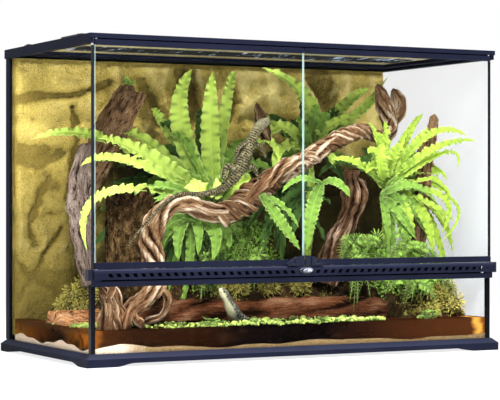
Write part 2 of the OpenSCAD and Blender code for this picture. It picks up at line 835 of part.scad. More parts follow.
module crown(base, fronds, g = 0) {
  for (f = fronds) frond(base, f[0], f[1], f[2], g);
}

left_crown = [-50, 60, 295];
left_fronds = [
  [[-115, 85, 455], [-80, 105, 572], 52], [[-60, 60, 445], [-50, 70, 565], 50],
  [[-12, 85, 500], [20, 105, 568], 30], [[-205, 40, 390], [-325, 20, 425], 44],
  [[-195, 85, 425], [-260, 95, 425], 30], [[-260, 100, 422], [-412, 145, 425], 34],
  [[-255, 20, 380], [-365, 10, 370], 26], [[-330, -40, 318], [-380, -55, 210], 26],
  [[40, 40, 425], [80, 20, 370], 26], [[-95, 20, 325], [-135, 0, 340], 40],
  [[-130, 120, 450], [-155, 130, 485], 30], [[-20, 60, 240], [0, 70, 128], 30]];
middle_crown = [180, 80, 405];
middle_fronds = [
  [[190, 105, 515], [95, 125, 580], 36], [[290, 120, 505], [360, 130, 545], 34],
  [[320, 100, 495], [362, 100, 530], 26], [[110, 60, 455], [50, 40, 420], 34],
  [[225, 60, 462], [295, 50, 482], 28], [[95, 40, 410], [70, 20, 350], 34],
  [[185, 20, 408], [205, 10, 370], 30], [[105, 100, 465], [70, 110, 495], 16],
  [[275, 90, 460], [395, 110, 570], 26], [[190, 90, 280], [180, 95, 138], 30]];
right_crown = [295, -45, 330];
right_fronds = [
  [[360, -100, 435], [418, -160, 435], 26], [[355, -120, 405], [420, -188, 425], 28],
  [[382, -130, 400], [395, -160, 370], 14], [[335, -95, 375], [385, -130, 402], 42],
  [[262, -70, 375], [270, -75, 420], 50], [[378, -130, 310], [375, -130, 235], 18],
  [[345, -95, 285], [365, -115, 190], 34], [[312, -90, 290], [330, -95, 240], 24],
  [[345, -105, 345], [372, -120, 350], 14], [[345, -40, 430], [395, -30, 485], 26],
  [[205, -80, 378], [145, -78, 385], 26], [[300, -40, 230], [300, -50, 114], 26]];
hanging_crown = [124, -74, 312];
hanging_fronds = [
  [[50, -100, 275], [85, -105, 210], 30], [[138, -98, 275], [112, -105, 210], 28],
  [[20, -106, 320], [-8, -106, 235], 22], [[135, -95, 332], [165, -100, 305], 24]];
broad_crown = [-150, -25, 268];
broad_fronds = [
  [[-200, -30, 250], [-222, -32, 190], 34], [[-180, -45, 240], [-186, -55, 185], 30],
  [[-140, -45, 250], [-145, -55, 195], 24], [[-108, -50, 245], [-115, -60, 185], 34],
  [[-80, -30, 248], [-65, -30, 205], 26], [[-145, -20, 190], [-150, 8, 92], 22]];

// The solids that the plants grow around
module wood(g) {
  limb(vine_pts, g);
  limb(vine_loop, g);
  limb(vine_twig, g);
  limb(trunk_pts, g);
  limb(stick_pts, g);
  cork_stump(g);
  cork_half_pipe(g);
  cork_slab(g);
  lizards(g);
}

module fern_left(g = 0) {
  color("#7ab82e") difference() {
    crown(left_crown, left_fronds, g);
    if (g == 0) {
      wood(plant_gap);
      soil_clear();
    }
  }
}

module fern_middle(g = 0) {
  color("#74b22c") difference() {
    crown(middle_crown, middle_fronds, g);
    if (g == 0) {
      wood(plant_gap);
      fern_left(plant_gap);
      soil_clear();
    }
  }
}

module fern_right() {
  color("#86c034") difference() {
    union() {
      crown(right_crown, right_fronds);
      crown(hanging_crown, hanging_fronds);
    }
    wood(plant_gap);
    fern_left(plant_gap);
    fern_middle(plant_gap);
    soil_clear();
  }
}

module broad_leaf_plant() {
  color("#5fa62c") difference() {
    crown(broad_crown, broad_fronds);
    wood(plant_gap);
    fern_left(plant_gap);
    soil_clear();
  }
}

// The ground that the plants and mosses are cut clear of
module soil_clear() {
  translate([0, 0, plant_gap]) bank_solid();
  waterline_log(plant_gap);
}

// Rounded clumps [x, y, z, radius]
module clumps(list, g = 0) {
  for (c = list) hull() {
    ball(c, c[3] + g);
    ball([c[0], c[1], c[2] - 6], c[3] + g);
  }
}

creeper_spots = [
  [-90, 25, 150, 34], [-45, 10, 195, 36], [5, 0, 225, 34], [40, 20, 170, 38],
  [272, -90, 140, 34], [305, -110, 175, 32], [340, -120, 140, 28], [240, -78, 178, 30]];

// Every blade, grown to cut the creepers and the moss clear
module all_crowns() {
  crown(left_crown, left_fronds, plant_gap);
  crown(middle_crown, middle_fronds, plant_gap);
  crown(right_crown, right_fronds, plant_gap);
  crown(hanging_crown, hanging_fronds, plant_gap);
  crown(broad_crown, broad_fronds, plant_gap);
}

module fine_creepers() {
  color("#4f9c2f") difference() {
    clumps(creeper_spots);
    wood(plant_gap);
    all_crowns();
    soil_clear();
  }
}

moss_spots = [
  [-375, 120, 78, 34], [-385, 150, 130, 28], [-345, 110, 120, 30], [-60, 40, 128, 22], [-10, 34, 124, 22],
  [60, 30, 126, 22], [130, 24, 122, 20], [330, -150, 80, 26], [385, -150, 92, 30],
  [392, -110, 120, 28], [360, -140, 112, 20]];

module moss() {
  color("#8f8a35") difference() {
    clumps(moss_spots);
    wood(plant_gap);
    shore_cork(plant_gap);
    all_crowns();
    clumps(creeper_spots, plant_gap);
    soil_clear();
    unplanned() {
      slab(-in_x, in_x, -in_y, in_y, 0, water_z + plant_gap);
      slab(-in_x, in_x, rock_y - rock_relief - 1, in_y, 0, top_z);
      for (s = [-1, 1]) side(s) slab(in_x - plant_gap, in_x + 60, -in_y, in_y, 0, top_z);
    }
  }
}

// ---------- lizards ----------
lizard_pts = [
  [22, -88, 472, 5], [4, -88, 458, 11], [-12, -88, 432, 9], [-32, -90, 402, 15], [-56, -92, 368, 15],
  [-80, -90, 340, 11], [-105, -82, 322, 7], [-143, -70, 314, 5], [-188, -68, 316, 4],
  [-240, -84, 290, 3], [-282, -86, 248, 2.4], [-312, -88, 212, 2]];
bather_pts = [
  [-112, -92, 128, 5], [-96, -92, 120, 10], [-88, -90, 98, 10], [-72, -88, 76, 13],
  [-35, -80, 62, 10], [10, -70, 56, 5]];

module lizards(g = 0) {
  limb(lizard_pts, g);
  limb(bather_pts, g);
  for (q = [
    [[-22, -92, 415, 5], [-62, -98, 405, 4], [-72, -98, 385, 3]],
    [[-20, -86, 412, 5], [2, -78, 408, 4], [8, -74, 392, 3]],
    [[-62, -96, 358, 6], [-92, -102, 368, 5], [-104, -100, 345, 3]],
    [[-58, -88, 356, 6], [-26, -90, 368, 5], [-18, -92, 350, 3]]]) limb(q, g);
}

module lizard_figures() {
  color("#a39a72") difference() {
    lizards();
    limb(vine_pts, plant_gap);
    limb(vine_loop, plant_gap);
    waterline_log(plant_gap);
    cork_stump(plant_gap);
  }
}

on_origin() {
  base_frame();
  floor_glass();
  back_glass();
  side_glass(-1);  // left_glass
  side_glass(1);  // right_glass
  front_window();
  rear_corner_posts();
  door_seals();
  top_frame();
  vent_strip();
  vent_gauze();
  vent_end_caps();
  hinge_pins();
  door_glass(-1);  // left_door_glass
  door_top_rail(-1);  // left_door_top_rail
  door_bottom_rail(-1);  // left_door_bottom_rail
  door_grip(-1);  // left_door_grip
  door_glass(1);  // right_door_glass
  door_top_rail(1);  // right_door_top_rail
  door_bottom_rail(1);  // right_door_bottom_rail
  door_grip(1);  // right_door_grip
  lock_knob();
  lock_shaft();
  lock_cam();
  lid_frame();
  lid_mesh(-1);  // lid_mesh_left
  lid_mesh(1);  // lid_mesh_right
  light_housing();
  light_end_caps();
  light_reflector();
  light_tubes();
  light_lens();
  latch(-1, latch_ys[0]);  // latch_front_left
  latch(1, latch_ys[0]);  // latch_front_right
  latch(-1, latch_ys[1]);  // latch_rear_left
  latch(1, latch_ys[1]);  // latch_rear_right
  cable_gate(gate_xs[0]);  // cable_gate_1
  cable_gate(gate_xs[1]);  // cable_gate_2
  cable_gate(gate_xs[2]);  // cable_gate_3
  cable_gate(gate_xs[3]);  // cable_gate_4
  rock_wall();
  sand_bed();
  water_fill();
  planned() planting_bank();
  planned() waterline_log();
  planned() driftwood_vine();
  planned() driftwood_trunk();
  planned() corner_root();
  planned() cork_half_pipe();
  planned() cork_slab();
  planned() cork_stump();
  planned() cork_stick();
  planned() shore_cork();
  planned() fern_left();
  planned() fern_middle();
  planned() fern_right();
  planned() broad_leaf_plant();
  planned() fine_creepers();
  planned() moss();
  planned() lizard_figures();
}
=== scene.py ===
import math
import random

import bpy
import numpy as np
from mathutils import Matrix, Vector, noise


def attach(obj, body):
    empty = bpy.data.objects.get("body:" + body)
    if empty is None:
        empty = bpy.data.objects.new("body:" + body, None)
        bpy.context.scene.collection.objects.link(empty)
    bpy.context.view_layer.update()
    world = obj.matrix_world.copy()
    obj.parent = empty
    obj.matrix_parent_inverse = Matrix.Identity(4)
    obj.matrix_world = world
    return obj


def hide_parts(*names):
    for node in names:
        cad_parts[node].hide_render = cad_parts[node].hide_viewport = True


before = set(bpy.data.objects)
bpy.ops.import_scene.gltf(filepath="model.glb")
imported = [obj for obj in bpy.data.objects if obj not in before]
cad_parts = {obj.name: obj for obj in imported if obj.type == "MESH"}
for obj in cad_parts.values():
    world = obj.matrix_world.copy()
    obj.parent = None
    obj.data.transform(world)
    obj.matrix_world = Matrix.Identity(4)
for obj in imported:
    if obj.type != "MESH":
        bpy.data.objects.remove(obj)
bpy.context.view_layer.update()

bpy.ops.object.select_all(action='DESELECT')
print("frame loaded:", len(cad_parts), "nodes")

# place and far in metres, turn in degrees, lens and sensor in millimetres
view = {"place": (-1.7397, -3.3027, 0.3037), "turn": (90, 0, -27.73), "lens": 133.1, "sensor": 36, "far": 60}
studio = {
    "sky": 0.20,    # strength
    "floor": 14,    # metres across
    "white": 0.8,    # share of plain white that the camera sees in the floor beside the case
    "fade": (0.8, 2.4),    # metres from the middle over which the floor goes to plain white
    "lamps": [    # place, aim, size, watts
        ((-1.2, -2.2, 2.0), (0, 0, 0.3), 0.7, 126),
        ((2.0, -2.2, 1.2), (0, 0, 0.3), 1.6, 12),
        ((-0.1, -0.45, 2.1), (0, 0.15, 0.3), 0.4, 165)],
}


def addLamp(name, place, aim, size, watts):
    bpy.ops.object.light_add(type='AREA', location=place)
    lamp = bpy.context.object
    lamp.name = name
    lamp.rotation_euler = (Vector(aim) - Vector(place)).to_track_quat('-Z', 'Y').to_euler()
    lamp.data.size = size
    lamp.data.energy = watts


bpy.ops.object.camera_add(location=view["place"], rotation=[math.radians(a) for a in view["turn"]])
camera = bpy.context.object
camera.data.sensor_fit = 'HORIZONTAL'
camera.data.sensor_width = view["sensor"]
camera.data.lens = view["lens"]
camera.data.clip_end = view["far"]
bpy.context.scene.camera = camera
bpy.context.scene.view_settings.view_transform = 'Standard'
for number, lampWords in enumerate(studio["lamps"]):
    addLamp("lamp%d" % number, *lampWords)


class Wire:
    # one socket of a node tree, with Math nodes for its operators
    def __init__(self, finish, socket):
        self.finish, self.socket = finish, socket

    def __add__(self, other):
        return self.finish.maths('ADD', self, other)

    __radd__ = __add__

    def __sub__(self, other):
        return self.finish.maths('SUBTRACT', self, other)

    def __rsub__(self, other):
        return self.finish.maths('SUBTRACT', other, self)

    def __mul__(self, other):
        return self.finish.maths('MULTIPLY', self, other)

    __rmul__ = __mul__

    def __pow__(self, other):
        return self.finish.maths('POWER', self, other)

    def __abs__(self):
        return self.finish.maths('ABSOLUTE', self)

    def clamp(self):
        return self.finish.maths('MINIMUM', self.finish.maths('MAXIMUM', self, 0.0), 1.0)


class Finish:
    # a material, or the world, whose nodes are added one call at a time
    def __init__(self, name, world=None):
        self.material = world or bpy.data.materials.new(name)
        self.material.use_nodes = True
        self.tree = self.material.node_tree
        self.surface = self.tree.nodes["Background" if world else "Principled BSDF"]
        self.end = self.tree.nodes["World Output" if world else "Material Output"].inputs["Surface"]
        self.places = {}

    def node(self, kind, settings=None, values=None, out=0):
        made = self.tree.nodes.new(kind)
        for word, value in (settings or {}).items():
            if word == "stops":
                ramp = made.color_ramp
                while len(ramp.elements) < len(value):
                    ramp.elements.new(0.5)
                for element, (place, colour) in zip(ramp.elements, value):
                    element.position, element.color = place, (*colour, 1)
            else:
                setattr(made, word, value)
        for slot, value in (values or {}).items():
            self.feed(made.inputs[slot], value)
        return Wire(self, made.outputs[out])

    def feed(self, socket, value):
        if isinstance(value, Wire):
            self.tree.links.new(value.socket, socket)
        elif isinstance(value, tuple) and len(value) == 3 and socket.type == 'RGBA':
            socket.default_value = (*value, 1)
        else:
            socket.default_value = value

    def maths(self, operation, first, second=None):
        values = {0: first} if second is None else {0: first, 1: second}
        return self.node('ShaderNodeMath', {"operation": operation}, values)

    def most(self, first, *others):
        for other in others:
            first = self.maths('MAXIMUM', first, other)
        return first

    def place(self, scale=(1, 1, 1), onUv=False):
        # one mapping for each scale, on Object coordinates or the piece's own UV map
        if (scale, onUv) not in self.places:
            source = self.node('ShaderNodeTexCoord', out='UV' if onUv else 'Object')
            made = self.node('ShaderNodeMapping', None, {"Vector": source, "Scale": scale})
            self.places[scale, onUv] = made
        return self.places[scale, onUv]

    def axis(self, place, which):
        return self.node('ShaderNodeSeparateXYZ', None, {0: place}, which)

    def axes(self, place=None):
        return [self.axis(place or self.place(), which) for which in range(3)]

    def facing(self, which, kind="Normal"):
        # the part of the surface's normal along one axis
        return self.axis(self.node('ShaderNodeNewGeometry', out=kind), which)

    def ridge(self):
        return self.node('ShaderNodeAttribute', {"attribute_name": "ridge"}, out="Fac")

    def hollow(self):
        return self.node('ShaderNodeNewGeometry', out="Pointiness")

    def noise(self, size, place=None, detail=4, rough=0.55, warp=0.0):
        return self.node('ShaderNodeTexNoise', None, {
            "Vector": place or self.place(), "Scale": size, "Detail": detail,
            "Roughness": rough, "Distortion": warp})

    def cells(self, size):
        return self.node('ShaderNodeTexVoronoi', None, {"Vector": self.place(), "Scale": size})

    def ramp(self, value, *stops):
        return self.node('ShaderNodeValToRGB', {"stops": stops}, {"Fac": value})

    def step(self, value, low, high):
        return self.node('ShaderNodeMapRange', {"interpolation_type": 'SMOOTHSTEP'},
                         {"Value": value, "From Min": low, "From Max": high})

    def wave(self, value):
        # goes from 0 to 1 and back for each whole number
        return self.maths('PINGPONG', value, 0.5) * 2.0

    def mix(self, factor, first, second):
        return self.node('ShaderNodeMix', {"data_type": 'RGBA'}, {0: factor, 6: first, 7: second}, 2)

    def blend(self, factor, other):
        # the tree's own surface, with another over it
        shown = self.node('ShaderNodeMixShader', None,
                          {0: factor, 1: Wire(self, self.surface.outputs[0]), 2: other})
        self.feed(self.end, shown)
        return self.material

    def bump(self, height, strength=0.5, distance=0.002, under=None):
        values = {"Height": height, "Strength": strength, "Distance": distance}
        if under:
            values["Normal"] = under
        return self.node('ShaderNodeBump', None, values)

    def shade(self, **values):
        words = {"colour": "Base Color", "rough": "Roughness", "metal": "Metallic", "alpha": "Alpha",
                 "coat": "Coat Weight", "coatRough": "Coat Roughness", "normal": "Normal",
                 "glow": "Emission Color", "glowPower": "Emission Strength", "specular": "Specular IOR Level"}
        for word, value in values.items():
            self.feed(self.surface.inputs[words[word]], value)
        return self.material


def floorFinish():
    # nearly plain white to the camera, so that the shadow still shows
    finish = Finish("paleFloor")
    grain = finish.noise(3.0, detail=2)
    finish.shade(colour=(0.9, 0.9, 0.9), rough=grain * 0.06 + 0.8, specular=0.2)
    seen = finish.node('ShaderNodeLightPath', out="Is Camera Ray")
    plain = finish.node('ShaderNodeEmission', None, {"Color": (1, 1, 1), "Strength": 1.0})
    away = finish.node('ShaderNodeVectorMath', {"operation": 'LENGTH'}, {0: finish.place()}, "Value")
    far = finish.step(away, *studio["fade"])
    return finish.blend(seen * (far * (1 - studio["white"]) + studio["white"]), plain)


def skyFinish():
    # soft light on the object, and white behind it, in its mirrors and through its glass
    bpy.context.scene.world = bpy.data.worlds.new("studioSky")
    sky = Finish("studioSky", bpy.context.scene.world)
    sky.feed(sky.surface.inputs["Strength"], studio["sky"])
    sky.feed(sky.surface.inputs["Color"], (1, 1, 1))
    plain = sky.node('ShaderNodeBackground', None, {"Color": (1, 1, 1), "Strength": 1.0})
    sky.blend(sky.most(*[sky.node('ShaderNodeLightPath', out="Is %s Ray" % kind)
                         for kind in ("Camera", "Glossy", "Transmission")]), plain)


skyFinish()
bpy.ops.mesh.primitive_plane_add(size=studio["floor"], location=(0, 0, 0))
floor = bpy.context.object
floor.name = "floor"
floor.data.materials.append(floorFinish())
print("stage set")

frontShift = 5.5    # millimetres: the solids centre the base, and the frame centres the whole object


def toFrame(points):
    # millimetres about the base's middle to metres in the frame
    return (np.asarray(points, float) + (0, frontShift, 0)) * 0.001


def selectOnly(*pieces):
    bpy.ops.object.select_all(action='DESELECT')
    for piece in pieces:
        piece.select_set(True)
    bpy.context.view_layer.objects.active = pieces[0]


def readPoints(piece, kind="co"):
    flat = np.empty(len(piece.data.vertices) * 3)
    piece.data.vertices.foreach_get(kind, flat)
    return flat.reshape(-1, 3)


def writePoints(piece, points):
    piece.data.vertices.foreach_set("co", np.asarray(points, float).ravel())
    piece.data.update()


def roundOut(piece):
    # turns every face outwards and leaves edit mode
    bpy.ops.mesh.select_all(action='SELECT')
    bpy.ops.mesh.normals_make_consistent(inside=False)
    bpy.ops.object.mode_set(mode='OBJECT')
    return piece


def selectRim(piece):
    # stays in edit mode
    selectOnly(piece)
    bpy.ops.object.mode_set(mode='EDIT')
    bpy.ops.mesh.select_mode(type='VERT')
    bpy.ops.mesh.select_all(action='DESELECT')
    bpy.ops.mesh.select_non_manifold()


def gridPiece(name, across, along, shape, uvSize=(1, 1)):
    # a flat grid is added and every point is moved to its place by shape(u, v)
    bpy.ops.object.select_all(action='DESELECT')
    bpy.ops.mesh.primitive_grid_add(x_subdivisions=across, y_subdivisions=along, size=2)
    piece = bpy.context.object
    piece.name = name
    flat = readPoints(piece)
    made = shape((flat[:, 0] + 1) / 2, (flat[:, 1] + 1) / 2)
    points, ridge = made if isinstance(made, tuple) else (made, np.ones(len(flat)) * 0.5)
    writePoints(piece, toFrame(points))
    piece.data.attributes.new("ridge", 'FLOAT', 'POINT').data.foreach_set("value", ridge)
    layer = piece.data.uv_layers[0]
    uv = np.empty(len(layer.data) * 2)
    layer.data.foreach_get("uv", uv)
    layer.data.foreach_set("uv", (uv.reshape(-1, 2) * uvSize).ravel())
    return piece


def mergeSeams(piece):
    # closes a rolled grid and clears faces without area; both distances in metres
    selectOnly(piece)
    bpy.ops.object.mode_set(mode='EDIT')
    bpy.ops.mesh.select_all(action='SELECT')
    bpy.ops.mesh.remove_doubles(threshold=0.00003)
    bpy.ops.mesh.dissolve_degenerate(threshold=0.00001)
    return roundOut(piece)


def thicken(piece, wall):
    # a wall in millimetres, half to each side
    selectOnly(piece)
    layer = piece.modifiers.new("wall", 'SOLIDIFY')
    layer.thickness, layer.offset = wall / 1000, 0.0
    bpy.ops.object.modifier_apply(modifier=layer.name)
    return piece


def joinPieces(name, pieces):
    selectOnly(*pieces)
    if len(pieces) > 1:
        bpy.ops.object.join()
    piece = bpy.context.object
    piece.name = name
    return piece


def unit(ways):
    return ways / np.linalg.norm(ways, axis=-1, keepdims=True)


def edgeRuns(line):
    # how far along the line each of its points lies
    return np.concatenate([[0], np.cumsum(np.linalg.norm(np.diff(line, axis=0), axis=1))])


def lumps(points, size, seed=0.0, octaves=4):
    # rough value from about -1 to 1 at each point, size in metres
    away = Vector((seed * 7.3, seed * 3.1, seed * 5.7))
    return np.array([noise.fractal(Vector(p) / size + away, 1.0, 2.1, octaves) for p in points])


def roughen(piece, amount, size, seed=0.0, octaves=4, keep=None):
    # pushes the surface in and out by amount, in metres
    points, out = readPoints(piece), readPoints(piece, "normal")
    push = lumps(points, size, seed, octaves) * amount
    if keep is not None:
        push *= keep(points)
    writePoints(piece, points + out * push[:, None])
    return piece


def smoothPath(points, count):
    # Catmull-Rom curve through points, read at even lengths
    p = np.asarray(points, float)
    p = np.vstack([2 * p[0] - p[1], p, 2 * p[-1] - p[-2]])
    dense = []
    for i in range(1, len(p) - 2):
        for t in np.linspace(0, 1, 16, endpoint=False):
            a, b, c, d = p[i - 1:i + 3]
            dense.append(0.5 * (2 * b + (c - a) * t + (2 * a - 5 * b + 4 * c - d) * t * t
                                + (3 * b - a - 3 * c + d) * t ** 3))
    dense.append(p[-2])
    dense = np.array(dense)
    run = edgeRuns(dense[:, :3])
    even = np.linspace(0, run[-1], count)
    return np.stack([np.interp(even, run, dense[:, k]) for k in range(p.shape[1])], axis=1), run[-1]


def limbPiece(name, path, sides=20, rings=60, section=None, caps=3):
    # a grid rolled round the path; section(angle, share, run) scales the radius
    line, length = smoothPath(path, rings + 1)
    spine, radius = line[:, :3], line[:, 3].copy()
    ahead = unit(np.gradient(spine, axis=0))
    side = np.zeros_like(spine)
    side[0] = unit(np.cross(ahead[0], (0, 1, 0.2)))
    for i in range(1, rings + 1):
        side[i] = unit(side[i - 1] - ahead[i] * np.dot(side[i - 1], ahead[i]))
    up = np.cross(ahead, side)
    for i in range(caps):    # rounded ends
        share = math.sin(math.pi / 2 * i / caps)
        radius[i] *= share
        radius[-1 - i] *= share

    def shape(u, v):
        ring = np.rint(v * rings).astype(int)
        angle = (u % 1.0) * 2 * np.pi
        swell = np.ones_like(u) if section is None else section(angle, v, v * length)
        reach = radius[ring] * swell
        low, high = swell.min(), swell.max()
        return (spine[ring] + side[ring] * (np.cos(angle) * reach)[:, None]
                + up[ring] * (np.sin(angle) * reach)[:, None]), (swell - low) / (high - low + 0.001)

    wide = 2 * math.pi * float(line[:, 3].mean())
    return mergeSeams(gridPiece(name, sides, rings, shape, (wide / 100, length / 100)))


def blockPiece(name, outline, x0, x1, sides, rings):
    # a closed outline in y and z, drawn out along x, with its ends drawn in
    edge = np.asarray(list(outline) + [outline[0]], float)
    run, middle = edgeRuns(edge), edge[:-1].mean(axis=0)

    def shape(u, v):
        spot = (u % 1.0) * run[-1]
        y, z = np.interp(spot, run, edge[:, 0]), np.interp(spot, run, edge[:, 1])
        end = np.minimum(np.rint(v * rings), rings - np.rint(v * rings))
        keep = np.where(end < 1, 0.0, np.where(end < 2, 0.8, np.where(end < 3, 0.97, 1.0)))
        return np.stack([x0 + (x1 - x0) * v, middle[0] + (y - middle[0]) * keep,
                         middle[1] + (z - middle[1]) * keep], axis=1)

    return mergeSeams(gridPiece(name, sides, rings, shape, (run[-1] / 100, (x1 - x0) / 100)))


def arcPoint(a, b, c, t):
    # the curve from a over b to c, at the shares t
    a, b, c, t = np.asarray(a, float), np.asarray(b, float), np.asarray(c, float), t[:, None]
    bend = 2 * b - (a + c) / 2
    return a * (1 - t) ** 2 + bend * 2 * t * (1 - t) + c * t ** 2


leafFace = unit(np.array((-0.35, -0.75, 0.55)))    # the way most leaves face


def bladePiece(name, base, frond, look, seed):
    # one leaf blade from the crown at base over frond's middle to its tip
    middle, tip, wide = frond
    turn = random.Random(seed)
    lean, phase, beat = turn.uniform(-0.35, 0.35), turn.uniform(0, 6.28), turn.uniform(0, 6.28)
    length = edgeRuns(arcPoint(base, middle, tip, np.linspace(0, 1, 40)))[-1]
    waveCount = max(2.5, length / look["waves"])
    curl = turn.uniform(-0.5, 0.5)

    def shape(u, v):
        spine = arcPoint(base, middle, tip, v)
        ahead = unit(arcPoint(base, middle, tip, np.minimum(v + 0.01, 1.0))
                     - arcPoint(base, middle, tip, v - 0.01))
        out = unit(np.cross(ahead, leafFace + (lean, 0, 0.2 * lean)))
        face = np.cross(out, ahead)
        twist = (curl * v ** 2)[:, None]
        out, face = out * np.cos(twist) + face * np.sin(twist), face * np.cos(twist) - out * np.sin(twist)
        across = (u - 0.5) * 2
        share = look["stalk"] + (1 - look["stalk"]) * np.sin(np.pi * (0.92 * v + 0.04) ** 0.8) ** 1.2
        share = share * np.clip((1 - v) * 9 + 0.12, 0, 1)
        run = waveCount * 2 * np.pi * v
        hand = np.where(across > 0, 1.9, 0.0)
        wave = (np.sin(run + hand + phase + 1.3 * np.sin(run * 0.31 + beat))
                + 0.45 * np.sin(run * 1.9 + hand * 2 + beat))
        notch = (1 + look["scallop"] * np.sin(run * 1.5 + hand + beat)
                 + look["nick"] * np.sin(run * 4.3 + hand))
        reach = wide * look["slim"] / 2 * share * across * (1 + (notch - 1) * np.abs(across) ** 2)
        edge = np.abs(across) ** 2.6
        lift = (look["ruffle"] * edge * share ** 0.5 * wave * (0.6 + 0.4 * np.sin(run * 0.23 + beat))
                + look["cup"] * wide * (np.abs(across) ** 1.1 - 0.35) * share
                - look["rib"] * np.exp(-(across / 0.12) ** 2))
        lift = np.where((v < 0.02) | (v > 0.985), lift * 0.3, lift)
        return spine + out * reach[:, None] + face * lift[:, None], 0.5 + 0.24 * np.abs(across) ** 1.1 * wave

    piece = gridPiece(name, look["across"], max(8, int(length / look["step"])), shape)
    return thicken(piece, look["wall"])


def paint(piece, finish):
    piece.data.materials.clear()
    piece.data.materials.append(finish)


def fitNode(piece, finish, nodes=(), smooth=None):
    # gives a fixed piece its finish and stands it in for the frame's nodes
    selectOnly(piece)
    if smooth is None:
        bpy.ops.object.shade_smooth()
    else:
        bpy.ops.object.shade_smooth_by_angle(angle=math.radians(smooth))
    paint(piece, finish)
    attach(piece, "cabinet")
    if nodes:
        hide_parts(*nodes)
    return piece


def scatter(name, pattern, spots):
    # copies of one small piece in one mesh, each placed by its own matrix
    source, count = pattern.data, len(spots)
    points = np.hstack([readPoints(pattern), np.ones((len(source.vertices), 1))])
    matrices = np.array([[list(row) for row in spot] for spot in spots])
    placed = np.einsum('nij,vj->nvi', matrices, points)[..., :3]
    corners = [tuple(face.vertices) for face in source.polygons]
    uv = np.empty(len(source.loops) * 2)
    source.uv_layers[0].data.foreach_get("uv", uv)
    mesh = bpy.data.meshes.new(name)
    step = len(source.vertices)
    mesh.from_pydata(placed.reshape(-1, 3).tolist(), [],
                     [tuple(c + step * n for c in face) for n in range(count) for face in corners])
    mesh.uv_layers.new(name="UVMap").data.foreach_set("uv", np.tile(uv, count))
    tone = np.repeat(np.random.default_rng(count).random(count), step)
    mesh.attributes.new("ridge", 'FLOAT', 'POINT').data.foreach_set("value", tone)
    piece = bpy.data.objects.new(name, mesh)
    bpy.context.collection.objects.link(piece)
    bpy.data.objects.remove(pattern)
    return piece


def frameFinish(name="frameBlack", tint=(0.0056, 0.0066, 0.0140), rough=0.42, gloss=0.012):
    finish = Finish(name)
    grain = finish.noise(900, detail=2)
    cloud = finish.noise(9, detail=3)
    colour = finish.mix(finish.step(cloud, 0.35, 0.75), tint, tuple(c * 1.35 for c in tint))
    # faces that point up are painted lighter: painted light from above
    top = finish.step(finish.facing(2), 0.25, 0.9)
    colour = finish.mix(top * 0.8, colour, tuple(c * 1.9 + 0.004 for c in tint))
    return finish.shade(colour=colour, rough=cloud * 0.12 + (rough - 0.05), specular=gloss,
                        normal=finish.bump(grain, 0.25, 0.0002))


glassLook = {"seal": (0.006, 0.007, 0.010), "silicone": (0.003, 0.003, 0.004),
             "back": 0.10, "right": 0.420,    # metres, past which an edge is sealed
             "sideSeam": -0.1953, "frontSeam": 0.4291, "seamTop": 0.150}


def glassFinish(name, across, alpha=0.008, tint=(0.03, 0.04, 0.04), edge=(0.38, 0.54, 0.52), glow=0.14,
                joint=0.0, dustAndShade=0.0):
    # across is the axis through the pane; its other faces are polished edges, black below the joint. The
    # unsealed edges are pale and glow in their edge colour: painted highlight
    finish = Finish(name)
    x, y, z = finish.axes()
    haze = finish.noise(5, detail=3)
    rim = 1.0 - finish.step(abs(finish.facing(across, "True Normal")), 0.3, 0.7)
    slant = finish.node('ShaderNodeLayerWeight', None, {"Blend": 0.3}, "Facing")
    seeThrough = (slant ** 4.0) * 0.22 + finish.step(haze, 0.45, 0.8) * 0.006 + alpha
    # the pane is made less clear towards the bottom, so its tint shows more: on the right pane painted shade
    # of the background seen through it
    if dustAndShade:
        seeThrough = seeThrough + finish.step(z, 0.52, 0.12) * dustAndShade
    sealed = finish.most(finish.step(z, joint + 0.001, joint - 0.001),
                         finish.step(y, glassLook["back"], glassLook["back"] + 0.01),
                         finish.step(x, glassLook["right"], glassLook["right"] + 0.004))
    edge = finish.mix(sealed, edge, glassLook["seal"])
    if across == 0:
        outer = finish.step(y, glassLook["sideSeam"] + 0.0005, glassLook["sideSeam"] - 0.0005)
    else:
        outer = finish.step(abs(x), glassLook["frontSeam"] - 0.0005, glassLook["frontSeam"] + 0.0005)
    seam = outer * finish.step(z, glassLook["seamTop"] + 0.001, glassLook["seamTop"] - 0.001)
    # pale, glowing edges away from the seals: painted highlight
    colour = finish.mix(seam, finish.mix(rim, tint, edge), glassLook["silicone"])
    return finish.shade(colour=colour, rough=0.03, specular=0.02, glowPower=glow,
                        alpha=(seeThrough + rim * 0.85 + seam).clamp(),
                        glow=finish.mix(rim * (1.0 - seam), (0, 0, 0), edge))


screenLook = {"wires": 640.0,    # for each metre, and the rest in metres
              "shadeY": 0.060, "shadeDeep": 0.056, "shadeX": 0.020, "shadeWide": 0.385}


